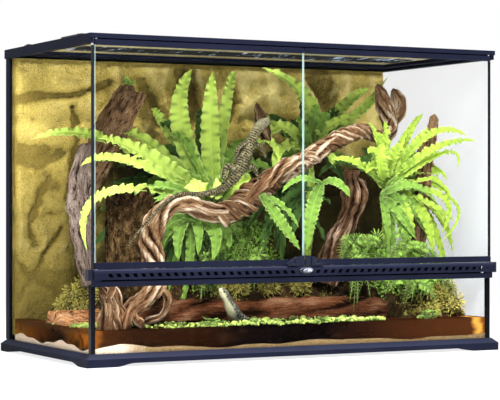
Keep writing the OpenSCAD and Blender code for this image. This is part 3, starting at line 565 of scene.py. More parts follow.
def meshFinish():
    # woven steel screen; the lamp's dark shade lies along its underside as painted shade, with glowing
    # streaks in it as painted glints
    finish = Finish("lidScreen")
    x, y, _ = finish.axes()
    cover = finish.most(*[finish.step(finish.wave(along * screenLook["wires"]), 0.62, 0.74)
                          for along in (x, y)])
    deep, wide = screenLook["shadeDeep"], screenLook["shadeWide"]
    under = (finish.step(abs(y - screenLook["shadeY"]), deep, deep - 0.004)
             * finish.step(abs(x - screenLook["shadeX"]), wide, wide - 0.005)
             * finish.step(finish.facing(2), -0.2, -0.6))
    streak = finish.noise(70, finish.place((1, 0.18, 1)), detail=5, rough=0.7, warp=0.6)
    # painted glints of cold light on the shaded band, a few more of them to the right; they also glow
    spark = finish.step(streak + finish.step(x, -0.3, 0.35) * 0.05, 0.60, 0.66) * under
    dustAndShade = finish.noise(14, detail=4)
    colour = finish.ramp(dustAndShade, (0.3, (0.40, 0.35, 0.18)), (0.7, (0.54, 0.48, 0.27)))
    colour = finish.mix(under * 0.97, colour, (0.006, 0.008, 0.018))
    colour = finish.mix(spark * 0.8, colour, (0.55, 0.68, 0.90))
    return finish.shade(colour=colour, rough=0.6, specular=0.0, alpha=(cover * 0.94 + under + 0.06).clamp(),
                        glow=finish.mix(spark, (0, 0, 0), (0.45, 0.62, 0.95)), glowPower=0.25,
                        normal=finish.bump(cover, 0.6, 0.0004))


def plasticFinish(name, colour, rough=0.4, coat=0.0, metal=0.0, grainSize=500, bumpBy=0.15, gloss=0.1):
    finish = Finish(name)
    grain = finish.noise(grainSize, detail=3)
    cloud = finish.noise(18, detail=3)
    worn = tuple(min(1.0, c * 1.18 + 0.004) for c in colour)
    return finish.shade(colour=finish.mix(finish.step(cloud, 0.3, 0.75), colour, worn),
                        rough=cloud * 0.14 + (rough - 0.06), coat=coat, coatRough=0.12,
                        specular=gloss, metal=metal, normal=finish.bump(grain, bumpBy, 0.0002))


def sparkFinish(name, dark):
    # dark glossy lamp parts with broken streaks of cold light along them
    finish = Finish(name)
    streak = finish.noise(26, finish.place((1, 5, 1)), detail=5, rough=0.75, warp=0.8)
    spark = finish.noise(170, finish.place((1, 2.5, 1)), detail=3, rough=0.7)
    lit = finish.step(streak * 0.6 + spark * 0.4, 0.545, 0.60)
    colour = finish.mix(lit * 0.9, dark, (0.58, 0.68, 0.86))
    return finish.shade(colour=colour, rough=0.12 + streak * 0.1, coat=0.4, coatRough=0.1,
                        glow=finish.mix(lit, (0, 0, 0), (0.58, 0.68, 0.86)), glowPower=0.35)


def knobFinish():
    # dark shell with a polished oval in its face, its bright streaks partly painted reflection, and a bright
    # line round its upper half as a painted highlight
    finish = Finish("knobShell")
    x, _, z = finish.axes()
    acrossKnob, upKnob = x * 66.0, (z - 0.169) * 165.0    # 1 at about 15 mm and 6 mm off
    oval = acrossKnob * acrossKnob + upKnob * upKnob
    streak = finish.noise(150, finish.place((1, 1, 2.5)), detail=3, rough=0.6)
    metal = finish.ramp(streak, (0.42, (0.02, 0.022, 0.03)), (0.50, (0.16, 0.17, 0.21)),
                        (0.58, (0.50, 0.53, 0.60)))
    colour = finish.mix(finish.step(oval, 0.46, 0.34), (0.006, 0.007, 0.011), metal)
    # the bright line round the upper half of the oval is a painted highlight
    line = finish.step(abs(oval - 0.80), 0.10, 0.04) * finish.step(upKnob, 0.0, 0.5)
    colour = finish.mix(line, colour, (0.35, 0.38, 0.48))
    return finish.shade(colour=colour, rough=streak * 0.1 + 0.12, coat=0.3, coatRough=0.1, specular=0.3,
                        normal=finish.bump(streak, 0.2, 0.0005))


caseLooks = [    # finish, then the nodes that wear it
    (frameFinish(), [
        "base_frame", "top_frame", "vent_strip", "lid_frame", "rear_corner_posts", "left_door_top_rail",
        "left_door_bottom_rail", "right_door_top_rail", "right_door_bottom_rail"]),
    (frameFinish("gripBlack", (0.005, 0.006, 0.013), rough=0.2, gloss=0.12), [
        "left_door_grip", "right_door_grip", "vent_end_caps", "cable_gate_1", "cable_gate_2", "cable_gate_3",
        "cable_gate_4"]),
    (frameFinish("latchBlack", (0.006, 0.007, 0.012), rough=0.14, gloss=0.5), [
        "latch_front_left", "latch_front_right", "latch_rear_left", "latch_rear_right"]),
    (glassFinish("frontGlass", 1, joint=0.150), [
        "back_glass", "front_window", "left_door_glass", "right_door_glass"]),
    (glassFinish("leftGlass", 0, edge=(0.84, 0.92, 0.94), glow=0.4, joint=0.197), ["left_glass"]),
    # the right pane's grey tint and its greying towards the bottom are painted shade of the background seen
    # through it
    (glassFinish("rightGlass", 0, alpha=0.09, tint=(0.44, 0.48, 0.52), edge=(0.030, 0.036, 0.060), glow=0.1,
                 joint=0.197, dustAndShade=0.17), ["right_glass"]),
    (glassFinish("floorGlass", 2, glow=0.0), ["floor_glass"]),
    (glassFinish("lightLens", 2, alpha=0.10, tint=(0.02, 0.03, 0.05), glow=0.0), ["light_lens"]),
    (plasticFinish("sealRubber", (0.006, 0.006, 0.009), 0.5), ["door_seals"]),
    (plasticFinish("ventGauze", (0.001, 0.001, 0.002), 0.8, grainSize=1200, bumpBy=0.5, gloss=0.0), [
        "vent_gauze"]),
    (plasticFinish("pinSteel", (0.62, 0.63, 0.66), 0.28, metal=1.0, gloss=0.5), [
        "hinge_pins", "lock_shaft", "lock_cam"]),
    (plasticFinish("lightShell", (0.006, 0.008, 0.018), 0.22, coat=0.2), ["light_housing", "light_end_caps"]),
    (meshFinish(), ["lid_mesh_left", "lid_mesh_right"]),
    (knobFinish(), ["lock_knob"]),
    (sparkFinish("lightMirror", (0.010, 0.014, 0.030)), ["light_reflector"]),
    (sparkFinish("tubeGlass", (0.030, 0.040, 0.070)), ["light_tubes"])]
for finish, nodes in caseLooks:
    for node in nodes:
        paint(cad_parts[node], finish)
print("case finished")

rockLook = {
    "columns": 250, "rows": 160, "relief": 20,
    "front": 190.5, "back": 207.5, "side": 432.5, "top": 588, "bottom": 17,
    "patches": [    # dark blots: x, z and both reaches, in metres
        (-0.139, 0.486, 0.024, 0.045), (-0.052, 0.520, 0.036, 0.070), (0.262, 0.535, 0.050, 0.060),
        (0.040, 0.330, 0.10, 0.05)],
    "cracks": [    # points in x and z, width, depth
        ([(-441, 499), (-382, 512), (-317, 518), (-282, 525), (-228, 543)], 8, 1.3),
        ([(-308, 492), (-301, 427), (-312, 345), (-317, 305)], 7, 1.2),
        ([(-437, 201), (-403, 154), (-343, 118)], 6, 0.9),
        ([(-334, 248), (-382, 180), (-424, 104)], 6, 0.9),
        ([(-436, 392), (-380, 372), (-330, 398)], 8, 0.8),
        ([(-360, 340), (-400, 262), (-392, 215)], 7, 0.8),
        ([(-150, 545), (-138, 512), (-104, 451)], 13, 0.9),
        ([(-69, 566), (-40, 520), (-11, 456)], 15, 0.9),
        ([(243, 565), (280, 520), (332, 469)], 16, 0.8),
        ([(40, 570), (60, 510), (30, 450)], 9, 0.8)],
    "flutes": [-262, -214, -150, -96, -28, 30, 92, 150, 214, 262, 330, 392],
    "ledges": [    # height, tilt, depth
        (470, 0.02, 1.0), (388, -0.05, 0.7), (300, 0.06, 0.8), (225, -0.03, 0.7)],
}


def rockFinish():
    finish = Finish("rockFoam")
    wide = finish.noise(6.5, detail=6, rough=0.62, warp=0.3)
    fine = finish.noise(90, detail=5, rough=0.7)
    grit = finish.noise(330, detail=4, rough=0.75)
    speck = finish.cells(380)
    height = finish.ridge()
    x, _, z = finish.axes()
    calm = finish.step(x, -0.18, -0.30)    # the plainer left end
    # raised relief gets a lighter tone and recesses a darker one: painted light and shade, beside the noise's
    # own tone
    tone = (wide - 0.5) * (0.5 - calm * 0.30) + height * 0.3 + calm * 0.02 + 0.35
    base = finish.ramp(tone, (0.26, (0.22, 0.145, 0.024)), (0.40, (0.60, 0.46, 0.105)),
                       (0.52, (0.82, 0.64, 0.17)), (0.68, (1.0, 0.85, 0.34)))
    rough = finish.noise(4.4, finish.place((1, 1, 0.75)), detail=8, rough=0.72, warp=0.6)
    patch = 0.0
    for atX, atZ, reachX, reachZ in rockLook["patches"]:
        acrossPatch, upPatch = (x - atX) * (1 / reachX), (z - atZ) * (1 / reachZ)
        blot = finish.step(acrossPatch * acrossPatch + upPatch * upPatch + (rough - 0.5) * 5.0, 1.25, 0.45)
        patch = finish.most(patch, blot)
    dark = finish.ramp(fine, (0.32, (0.035, 0.024, 0.005)), (0.68, (0.28, 0.20, 0.045)))
    base = finish.mix(patch * 0.85, base, dark)
    base = finish.mix(finish.step(speck, 0.30, 0.04) * 0.10, base, (0.12, 0.080, 0.018))
    base = finish.mix(finish.step(grit, 0.50, 0.36) * 0.50, base, (0.19, 0.13, 0.030))
    base = finish.mix(finish.step(grit, 0.54, 0.70) * 0.40, base, (1.0, 0.86, 0.38))
    # raised relief high on the wall, away from the left end, is painted near white-gold: painted light from
    # above
    paintedCrestLight = finish.step(height + (rough - 0.5) * 0.7, 0.48, 0.80) * finish.step(z, 0.42, 0.50) * (1.0 - calm)
    base = finish.mix(paintedCrestLight * 0.8, base, (1.0, 0.84, 0.32))
    # the left end is painted darker towards the bottom: painted shade
    shade = finish.step(z + (wide - 0.5) * 0.2, 0.44, 0.25) * calm
    base = finish.mix(shade * 0.52, base, (0.050, 0.040, 0.008))
    # hollows and the deepest parts of the relief are painted darker: painted shade
    base = finish.mix(finish.step(finish.hollow(), 0.49, 0.42) * 0.8, base, (0.055, 0.036, 0.008))
    base = finish.mix(finish.step(height, 0.16, 0.0) * 0.5, base, (0.10, 0.068, 0.014))
    # the lower wall right of its left end is painted nearly black: painted shade behind the plants
    paintedDeepShade = (finish.step(z + (wide - 0.5) * 0.25, 0.46, 0.36)
            * finish.step(x + (wide - 0.5) * 0.2, -0.29, -0.22))
    base = finish.mix(paintedDeepShade * 0.93, base, (0.012, 0.010, 0.004))
    swell = finish.bump(wide + rough * 0.9, 1.0, 0.045)
    grain = grit * 0.5 + speck * 0.10 + fine * (patch * 0.6 + 0.5)
    return finish.shade(colour=base, rough=fine * 0.2 + 0.70, specular=0.0,
                        normal=finish.bump(grain, 1.0, 0.006, swell))


def makeRockWall(look):
    def shape(u, v):
        x = (u * 2 - 1) * look["side"]
        z = look["bottom"] + v * (look["top"] - look["bottom"])
        spots = np.stack([x, z, x * 0], axis=1) * 0.001
        broad = lumps(spots, 0.16, 3, 5)
        crag = np.abs(lumps(spots + (0.2, 0.1, 0), 0.07, 5, 5))
        fine = lumps(spots, 0.022, 8, 3)
        bend = lumps(np.stack([z * 0.001, z * 0, z * 0], axis=1), 0.2, 9, 3) * 26
        flute = np.zeros_like(x)
        for number, place in enumerate(look["flutes"]):
            width = 9 + 7 * ((number * 37) % 5) / 4
            flute += np.exp(-((x - place - bend * ((number % 3) - 1)) / width) ** 2)
        ledge = np.zeros_like(x)
        for place, tilt, deep in look["ledges"]:
            ledge += deep * np.exp(-((z - place - tilt * x - bend * 0.5) / 9) ** 2)
        high = np.clip((z - 330) / 160, 0, 1)
        crack = np.zeros_like(x)
        for line, wide, deep in look["cracks"]:
            (path, _), near = smoothPath([(a, 0, b) for a, b in line], 24), np.full_like(x, 1e9)
            for a, b in path[:, (0, 2)]:
                near = np.minimum(near, (x + 7 * fine - a) ** 2 + (z + 7 * broad - b) ** 2)
            crack += deep * np.exp(-near / wide ** 2)
        relief = (0.52 - 0.7 * crack + 0.36 * broad - 0.35 * crag + 0.34 * flute * high
                  - 0.3 * ledge * (1 - 0.5 * high) + 0.1 * fine)
        relief = np.clip(relief, 0, 1) * look["relief"] * np.clip((z - 150) / 60, 0.15, 1)
        relief *= np.clip((look["top"] - z) / 10, 0.3, 1) * np.clip((look["side"] - np.abs(x)) / 8, 0.2, 1)
        return np.stack([x, look["front"] - relief, z], axis=1), relief / look["relief"]

    wall = gridPiece("rock", look["columns"], look["rows"], shape)
    selectRim(wall)
    bpy.ops.mesh.extrude_region()    # the rim goes back to the flat rear side
    bpy.ops.object.mode_set(mode='OBJECT')
    points = readPoints(wall)
    chosen = np.array([vertex.select for vertex in wall.data.vertices])
    points[chosen, 1] = (look["back"] + frontShift) * 0.001
    writePoints(wall, points)
    bpy.ops.object.mode_set(mode='EDIT')
    bpy.ops.mesh.edge_face_add()
    return roundOut(wall)


fitNode(makeRockWall(rockLook), rockFinish(), ["rock_wall"], smooth=60)
print("rock wall shaped")

sandLook = {"x": 432.5, "y": (-207.5, 207.5), "bottom": 17, "top": 31}
waterLook = {
    "half": 0.44,    # half the width that the front's colours run over, in metres
    "afloat": 66.4,    # height at which leaves float, in millimetres
    "front": [    # share of the width, colour: amber at both ends as painted light, with a painted highlight near the right end, and nearly black in the middle as painted shade
        (0.0, (0.20, 0.065, 0.010)), (0.014, (0.17, 0.055, 0.009)), (0.028, (0.030, 0.010, 0.003)),
        (0.10, (0.014, 0.005, 0.002)), (0.26, (0.010, 0.003, 0.001)), (0.36, (0.002, 0.001, 0.001)),
        (0.56, (0.002, 0.001, 0.001)), (0.66, (0.012, 0.004, 0.002)), (0.82, (0.034, 0.010, 0.003)),
        (0.950, (0.046, 0.014, 0.004)), (0.968, (0.62, 0.28, 0.045)), (0.982, (0.10, 0.034, 0.007))],
    "side": [    # from front to back: amber at front and back as painted light, dark between as painted shade
        (0.0, (0.26, 0.080, 0.006)), (0.16, (0.20, 0.058, 0.005)), (0.34, (0.014, 0.006, 0.002)),
        (0.60, (0.030, 0.009, 0.002)), (0.80, (0.10, 0.028, 0.003)), (0.97, (0.17, 0.075, 0.010))],
}
bankLook = {    # outline in y and z, then x from and to, then faces round and along
    "bankBack": ([(28, 20), (24, 92), (46, 122), (100, 150), (190.2, 165), (190.2, 20)], -372, 432, 96, 150),
    "bankLeft": ([(62, 20), (64, 46), (100, 58), (190.2, 62), (190.2, 20)], -402, -366, 60, 16),
    "bankRight": ([(-150, 20), (-146, 70), (-100, 105), (-40, 130), (40, 140), (40, 20)], 268, 432, 84, 40),
}


def sandFinish():
    finish = Finish("sandBed")
    grain, cloud = finish.cells(900), finish.noise(14, detail=4)
    x = finish.axis(finish.place(), 0)
    speckle = finish.noise(620, detail=3)
    pale = finish.ramp(speckle, (0.3, (0.34, 0.22, 0.13)), (0.5, (0.66, 0.52, 0.38)),
                       (0.7, (0.86, 0.76, 0.62)))
    brown = finish.ramp(speckle, (0.3, (0.07, 0.042, 0.018)), (0.5, (0.20, 0.135, 0.06)),
                        (0.7, (0.34, 0.24, 0.12)))
    colour = finish.mix(finish.step(x + (cloud - 0.5) * 0.1, -0.33, -0.38), brown, pale)
    return finish.shade(colour=colour, rough=cloud * 0.1 + 0.8, specular=0.0,
                        normal=finish.bump(grain, 0.6, 0.001))


def soilFinish():
    finish = Finish("darkSoil")
    clod, fine = finish.noise(22, detail=6, rough=0.7), finish.noise(210, detail=4)
    colour = finish.ramp(clod, (0.32, (0.010, 0.007, 0.004)), (0.52, (0.060, 0.036, 0.016)),
                         (0.68, (0.17, 0.095, 0.042)))
    algae = finish.step(finish.noise(11, detail=5), 0.56, 0.70)
    colour = finish.mix(algae * 0.8, colour, (0.10, 0.12, 0.024))
    return finish.shade(colour=colour, rough=fine * 0.15 + 0.78, specular=0.0,
                        normal=finish.bump(clod + fine * 0.5, 0.8, 0.006))


def waterFinish():
    # tea-brown and cloudy, clearest from above
    finish = Finish("pondWater")
    x, y, z = finish.axes()
    drift = finish.noise(9, finish.place((1, 1, 2.4)), detail=5, rough=0.6)
    fine = finish.noise(40, finish.place((1, 1, 2)), detail=4)
    lump = finish.noise(30, finish.place((1, 1, 1.3)), detail=5, rough=0.65, warp=0.8)
    ripple = finish.noise(34, finish.place((1, 1.7, 1)), detail=3)
    across = (x + waterLook["half"]) * (1 / (2 * waterLook["half"]))
    # the colours along the front and the sides hold painted light and shade
    colour = finish.ramp(across + (drift - 0.5) * 0.07, *waterLook["front"])
    sideColour = finish.ramp(y * 2.4 + 0.5 + (drift - 0.5) * 0.5, *waterLook["side"])
    sideColour = finish.mix(finish.step(lump, 0.50, 0.38) * 0.75, sideColour, (0.010, 0.005, 0.001))
    rimLine = finish.step(z + (lump - 0.5) * 0.02, 0.052, 0.062)
    sideColour = finish.mix(rimLine * 0.8, sideColour, (0.05, 0.022, 0.008))
    side = finish.step(x, -0.423, -0.428)
    colour = finish.mix(side, colour, sideColour)
    mud = finish.step(fine * 0.5 + drift * 0.5, 0.54, 0.66)
    colour = finish.mix(mud * 0.12, colour, (0.10, 0.045, 0.016))
    up = finish.step(finish.facing(2), 0.3, 0.8)
    cloudy = (finish.step(x, -0.432, -0.42) * 0.22 + side * 0.22 + 0.78 + (drift - 0.5) * 0.3
              + (fine - 0.5) * 0.12)
    return finish.shade(colour=colour, rough=0.05, alpha=(cloudy - up * 0.25).clamp(), specular=0.0,
                        normal=finish.bump(ripple, 0.10, 0.003))


def makeSand(look):
    def shape(u, v):
        rim = (u < 0.001) | (u > 0.999) | (v < 0.001) | (v > 0.999)
        x = np.clip((u - 0.5) / 0.96 + 0.5, 0, 1) * 2 * look["x"] - look["x"]
        y = look["y"][0] + np.clip((v - 0.5) / 0.94 + 0.5, 0, 1) * (look["y"][1] - look["y"][0])
        roll = 0.6 * np.sin(np.radians(0.9 * x + 40)) + 0.4 * np.sin(np.radians(2.6 * x))
        top = look["top"] + 4.2 * roll + 1.6 * lumps(np.stack([x, y, x * 0], axis=1) * 0.001, 0.045, 2, 4)
        dunes = 2.5 + 5.0 * np.sin(y / 34 + 3.4) + 1.8 * np.sin(y / 11)
        top += np.clip((-395 - x) / 25, 0, 1) * dunes
        top += np.clip((-178 - y) / 16, 0, 1) * 5.0 * np.exp(-((x + 368) / 40) ** 2)
        return np.stack([x, y, np.where(rim, look["bottom"] + 0.2, top)], axis=1)

    bed = gridPiece("sand", 150, 72, shape)
    selectRim(bed)
    bpy.ops.mesh.edge_face_add()
    return roundOut(bed)


def insideCase(points):
    # 0 at the side panes, the rock and the floor, 1 from 20 mm inside them
    room = np.stack([0.425 - np.abs(points[:, 0]), 0.19 - points[:, 1], points[:, 2] - 0.03], axis=1)
    return np.prod(np.clip(room / 0.02, 0, 1), axis=1)


fitNode(makeSand(sandLook), sandFinish(), ["sand_bed"], smooth=50)
paint(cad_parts["water_fill"], waterFinish())
banks = [roughen(blockPiece(name, *words), 0.006, 0.05, 11 + number, 5, insideCase)
         for number, (name, words) in enumerate(bankLook.items())]
ground = readPoints(banks[0])
bankFoot, bankEnd = 0.02, bankLook["bankBack"][1] / 1000    # both in metres
fall = np.clip((ground[:, 0] - bankEnd) / 0.13, 0, 1) ** 0.8    # the back bank runs out to the left
ground[:, 2] = bankFoot + (ground[:, 2] - bankFoot) * (0.30 + 0.70 * fall)
writePoints(banks[0], ground)
fitNode(joinPieces("bank", banks), soilFinish(), ["planting_bank"])
print("ground laid")

vineLook = {    # paths of x, y, z and radius
    "main": [(-370, -185, 45, 12), (-345, -168, 95, 15), (-300, -140, 115, 16), (-262, -110, 145, 19),
             (-253, -80, 190, 22), (-250, -62, 225, 22.5), (-238, -60, 262, 21), (-210, -60, 292, 18.5),
             (-168, -60, 296, 16.5), (-128, -60, 281, 16.5), (-82, -60, 277, 17), (-45, -58, 295, 17),
             (-12, -56, 325, 17), (40, -50, 352, 15), (95, -45, 382, 16.5), (165, -40, 418, 15.5),
             (240, -30, 446, 15), (290, -20, 436, 13), (316, -12, 438, 13), (328, -8, 458, 15),
             (322, -4, 485, 16.5), (314, 0, 515, 16), (307, 2, 538, 9), (303, 3, 549, 3)],
    "loop": [(-62, -62, 292, 11), (-28, -80, 322, 12), (-4, -86, 344, 13), (24, -88, 366, 13),
             (50, -84, 378, 12), (74, -74, 378, 10), (92, -60, 366, 7)],
    "twig": [(320, -6, 464, 9), (338, 0, 474, 14), (352, 4, 492, 17), (356, 6, 511, 16), (349, 6, 528, 11),
             (343, 6, 541, 3)],
    "strands": [    # start and end along the vine, turns, lift, thickness, first angle
        (0.02, 0.30, 0.7, 0.62, 5.5, 0.4), (0.04, 0.34, 0.8, 0.66, 5.0, 2.6),
        (0.20, 0.45, 0.9, 0.66, 4.5, 4.4),
        *[(0.43, 0.60, 2.6, 1.45, 7.0, turn * 1.57) for turn in range(4)],    # the close coil
        *[(0.60, 0.88, 3.8, 0.9, 6.4, turn * 1.57 + 0.4) for turn in range(4)],
        (0.84, 0.96, 0.8, 0.8, 6.5, 1.4), (0.85, 0.965, 0.9, 0.85, 6.0, 3.8),
        (0.85, 0.97, 0.8, 0.9, 5.5, 5.4)],
    "forks": [    # path, turns, thickness
        ([(-352, -172, 92, 8), (-372, -176, 128, 8), (-388, -168, 165, 8)], 0.8, 6),
        ([(-336, -168, 96, 8), (-322, -172, 74, 8), (-318, -168, 50, 8)], 0.7, 7),
        ([(-270, -118, 148, 8), (-246, -128, 118, 8), (-262, -136, 86, 8), (-300, -140, 72, 8)], 0.9, 7),
        ([(-388, -178, 120, 8), (-372, -170, 150, 8), (-352, -176, 172, 8)], 0.6, 6)],
}
woodLook = {    # paths of x, y, z and radius
    "trunk": [(228, -18, 369, 11), (229, -17, 362, 15), (231, -16, 348, 14), (236, -15, 335, 21),
              (239, -14, 320, 26), (237, -13, 300, 25), (229, -8, 268, 20), (206, 12, 208, 21),
              (186, 32, 130, 26)],
    "root": [(-398, -182, 38, 18), (-388, -178, 75, 20), (-384, -172, 110, 15), (-392, -160, 140, 10)],
    "rootSide": [(-372, -195, 30, 8), (-378, -190, 70, 9), (-386, -180, 108, 7), (-392, -172, 128, 6),
                 (-396, -166, 140, 5), (-398, -160, 150, 5)],
    "stick": [(393, -78, 484, 2), (392, -78, 474, 9), (388, -77, 452, 12), (376, -75, 415, 15),
              (364, -72, 325, 16), (358, -66, 215, 17), (355, -60, 165, 18), (354, -58, 118, 18)],
    "stub": [(62, 45, 420, 13), (52, 44, 452, 14), (43, 42, 482, 10), (35, 40, 506, 2)],
    "log": [(-300, 24, 71, 30), (-230, 17, 66, 32), (-120, 6, 74, 31), (0, -10, 69, 33), (120, -30, 75, 31),
            (240, -50, 70, 33), (335, -64, 74, 30)],
}


def woodFinish(name, stops, pale=(0.88, 0.74, 0.56), paintedHighlightShare=0.68):
    finish, groove = Finish(name), (0.010, 0.004, 0.002)
    along = finish.place((1, 0.10, 1), True)
    grain = finish.noise(30, along, detail=6, rough=0.68, warp=0.3)
    fibre = finish.noise(130, along, detail=3)
    blotch = finish.noise(8, detail=5, rough=0.6)
    ridge = finish.ridge()
    # ridges are painted lighter and the grooves between them dark: painted light and shade
    colour = finish.ramp(grain * 0.5 + blotch * 0.3 + ridge * 0.2, *stops)
    colour = finish.mix(finish.step(ridge + (grain - 0.5) * 0.9, 0.47, 0.18), colour, groove)
    # the highest ridges turn pale: painted highlight
    lit = finish.step(ridge + (grain - 0.5) * 1.1 + (blotch - 0.5) * 0.7, 0.66, 1.0)
    colour = finish.mix(lit * paintedHighlightShare, colour, pale)
    colour = finish.mix(finish.step(fibre, 0.48, 0.36) * 0.6, colour, groove)
    # darker in hollows: painted shade
    colour = finish.mix(finish.step(finish.hollow(), 0.50, 0.43) * 0.8, colour, groove)
    return finish.shade(colour=colour, rough=fibre * 0.2 + 0.42, specular=0.015,
                        normal=finish.bump(grain * 1.2 + fibre * 0.6, 0.9, 0.004))


def twisted(lobes, twist, deep, seed):
    # a section with deep ridges that wind along the limb
    turn = random.Random(seed)
    shifts = [turn.uniform(0, 6.28) for _ in range(3)]

    def section(angle, share, run):
        wind = angle + twist * run / 100 + 0.5 * np.sin(run / 55 + shifts[0])
        ridge = np.abs(np.cos(wind * lobes / 2 + shifts[1])) ** 0.8
        second = np.abs(np.cos(wind * (lobes + 2) / 2 - 0.6 * np.sin(run / 34) + shifts[2]))
        knot = 0.10 * np.sin(run / 41 + shifts[1]) + 0.06 * np.sin(run / 17 + shifts[2])
        return 1.10 - deep + deep * (0.75 * ridge + 0.35 * second) + knot * 0.6
    return section


vineWood = woodFinish("vineWood", [(0.36, (0.030, 0.012, 0.005)), (0.47, (0.135, 0.062, 0.028)),
                                   (0.57, (0.28, 0.165, 0.080)), (0.69, (0.60, 0.45, 0.28))])
redWood = woodFinish("redWood", [(0.34, (0.012, 0.006, 0.003)), (0.47, (0.075, 0.034, 0.015)),
                                 (0.58, (0.19, 0.110, 0.056)), (0.70, (0.42, 0.29, 0.17))],
                     pale=(0.60, 0.46, 0.30), paintedHighlightShare=0.45)
logWood = woodFinish("logWood", [(0.34, (0.022, 0.008, 0.004)), (0.47, (0.10, 0.034, 0.014)),
                                 (0.58, (0.22, 0.078, 0.032)), (0.72, (0.44, 0.22, 0.11))],
                     pale=(0.58, 0.38, 0.23), paintedHighlightShare=0.25)
trunkWood = woodFinish("trunkWood", [(0.34, (0.014, 0.007, 0.003)), (0.47, (0.085, 0.040, 0.018)),
                                     (0.58, (0.22, 0.125, 0.068)), (0.70, (0.52, 0.34, 0.22))],
                       pale=(0.72, 0.50, 0.36), paintedHighlightShare=0.7)


def windStrand(name, path, start, end, turns, lift, thick, phase, seed):
    # one strand that winds round the path from start to end, both shares of its length
    line, _ = smoothPath(path, 160)
    last = len(line) - 1
    part = line[int(start * last):int(end * last) + 1:3]
    ahead = unit(np.gradient(part[:, :3], axis=0))
    side = unit(np.cross(ahead, (0.1, 0.9, 0.3)))
    up = np.cross(ahead, side)
    share = np.linspace(0, 1, len(part))
    swing = phase + turns * 2 * np.pi * share + 0.4 * np.sin(share * 9 + seed)
    reach = part[:, 3] * lift * np.sin(np.pi * np.clip(share * 0.94 + 0.03, 0, 1)) ** 0.25
    spot = part[:, :3] + side * (np.cos(swing) * reach)[:, None] + up * (np.sin(swing) * reach)[:, None]
    taper = np.clip(np.minimum(share, 1 - share) * 9 + 0.45, 0, 1)
    size = thick * (1 + 0.22 * np.sin(share * 11 + seed)) * taper
    strand = limbPiece(name, np.hstack([spot, size[:, None]]), 16, len(part) * 5, twisted(3, 2.2, 0.4, seed))
    return roughen(strand, 0.0011, 0.012, seed, 3)


vine = [limbPiece("vineMain", vineLook["main"], 56, 420, twisted(5, 1.7, 0.46, 3)),
        limbPiece("vineLoop", vineLook["loop"], 30, 110, twisted(4, 2.2, 0.45, 5)),
        limbPiece("vineTwig", vineLook["twig"], 22, 44, twisted(3, 2.0, 0.4, 7))]
for number, piece in enumerate(vine):
    roughen(piece, 0.0026, 0.016, 31 + number, 4)
vine += [windStrand("strand%d" % n, vineLook["main"], *words, n + 60)
         for n, words in enumerate(vineLook["strands"])]
vine += [windStrand("forked%d" % n, path, 0.0, 1.0, turns, 0.3, thick, n * 2.1, n + 90)
         for n, (path, turns, thick) in enumerate(vineLook["forks"])]
fitNode(joinPieces("vine", vine), vineWood, ["driftwood_vine"])

trunk = limbPiece("trunk", woodLook["trunk"], 44, 140, twisted(7, 0.35, 0.36, 11))
fitNode(roughen(trunk, 0.0045, 0.018, 61, 4), trunkWood, ["driftwood_trunk"])
root = [limbPiece("rootMain", woodLook["root"], 36, 80, twisted(5, 1.6, 0.45, 13)),
        limbPiece("rootSide", woodLook["rootSide"], 18, 60, twisted(3, 2.0, 0.4, 15))]
for number, piece in enumerate(root):
    roughen(piece, 0.0035, 0.018, 71 + number, 4)
fitNode(joinPieces("cornerRoot", root), redWood, ["corner_root"])
log = limbPiece("log", woodLook["log"], 40, 220, twisted(4, 0.5, 0.25, 17))
fitNode(roughen(log, 0.004, 0.02, 81, 5), logWood, ["waterline_log"])
stub = limbPiece("stub", woodLook["stub"], 24, 40, twisted(4, 1.0, 0.35, 23))
fitNode(roughen(stub, 0.002, 0.014, 85, 4), redWood)
print("driftwood twisted")

corkLook = {
    "halfPipe": {"at": (-302, 132, 318), "lean": 29, "outer": 45, "inner": 36, "long": 232},
    "slab": [    # x, z and half width
        (-326, 130, 13), (-331, 185, 20), (-336, 245, 26), (-336, 310, 28), (-330, 362, 26), (-320, 400, 19),
        (-315, 417, 11)],
    "stump": {"at": (-238, 40, 110), "outer": 58, "inner": 44, "high": 215, "floor": 60},
    "shore": [(-60, 48), (-58, 72), (-10, 92), (40, 88), (58, 48)],    # outline in y and z
    "shoreEnds": (-426, -331),    # in x
}


def corkFinish(name, stops, stretch=0.22, size=15):
    finish, crack = Finish(name), (0.014, 0.007, 0.004)
    along = finish.place((1, stretch, 1), True)
    grain = finish.noise(size, along, detail=8, rough=0.70, warp=0.5)
    fibre = finish.noise(size * 5, along, detail=4, rough=0.6)
    blotch = finish.noise(13, detail=5, rough=0.65)
    chip = finish.noise(120, detail=4, rough=0.7)
    colour = finish.ramp(grain * 0.6 + blotch * 0.4, *stops)
    colour = finish.mix(finish.step(grain, 0.47, 0.38) * 0.85, colour, crack)
    colour = finish.mix(finish.step(fibre, 0.46, 0.36) * 0.55, colour, crack)
    # darker in hollows: painted shade
    colour = finish.mix(finish.step(finish.hollow(), 0.50, 0.43) * 0.8, colour, crack)
    colour = finish.mix(finish.step(chip, 0.58, 0.74) * 0.5, colour, stops[-1][1])
    return finish.shade(colour=colour, rough=chip * 0.15 + 0.66, specular=0.0,
                        normal=finish.bump(grain * 1.6 + fibre * 0.6 + chip * 0.3, 0.9, 0.005))


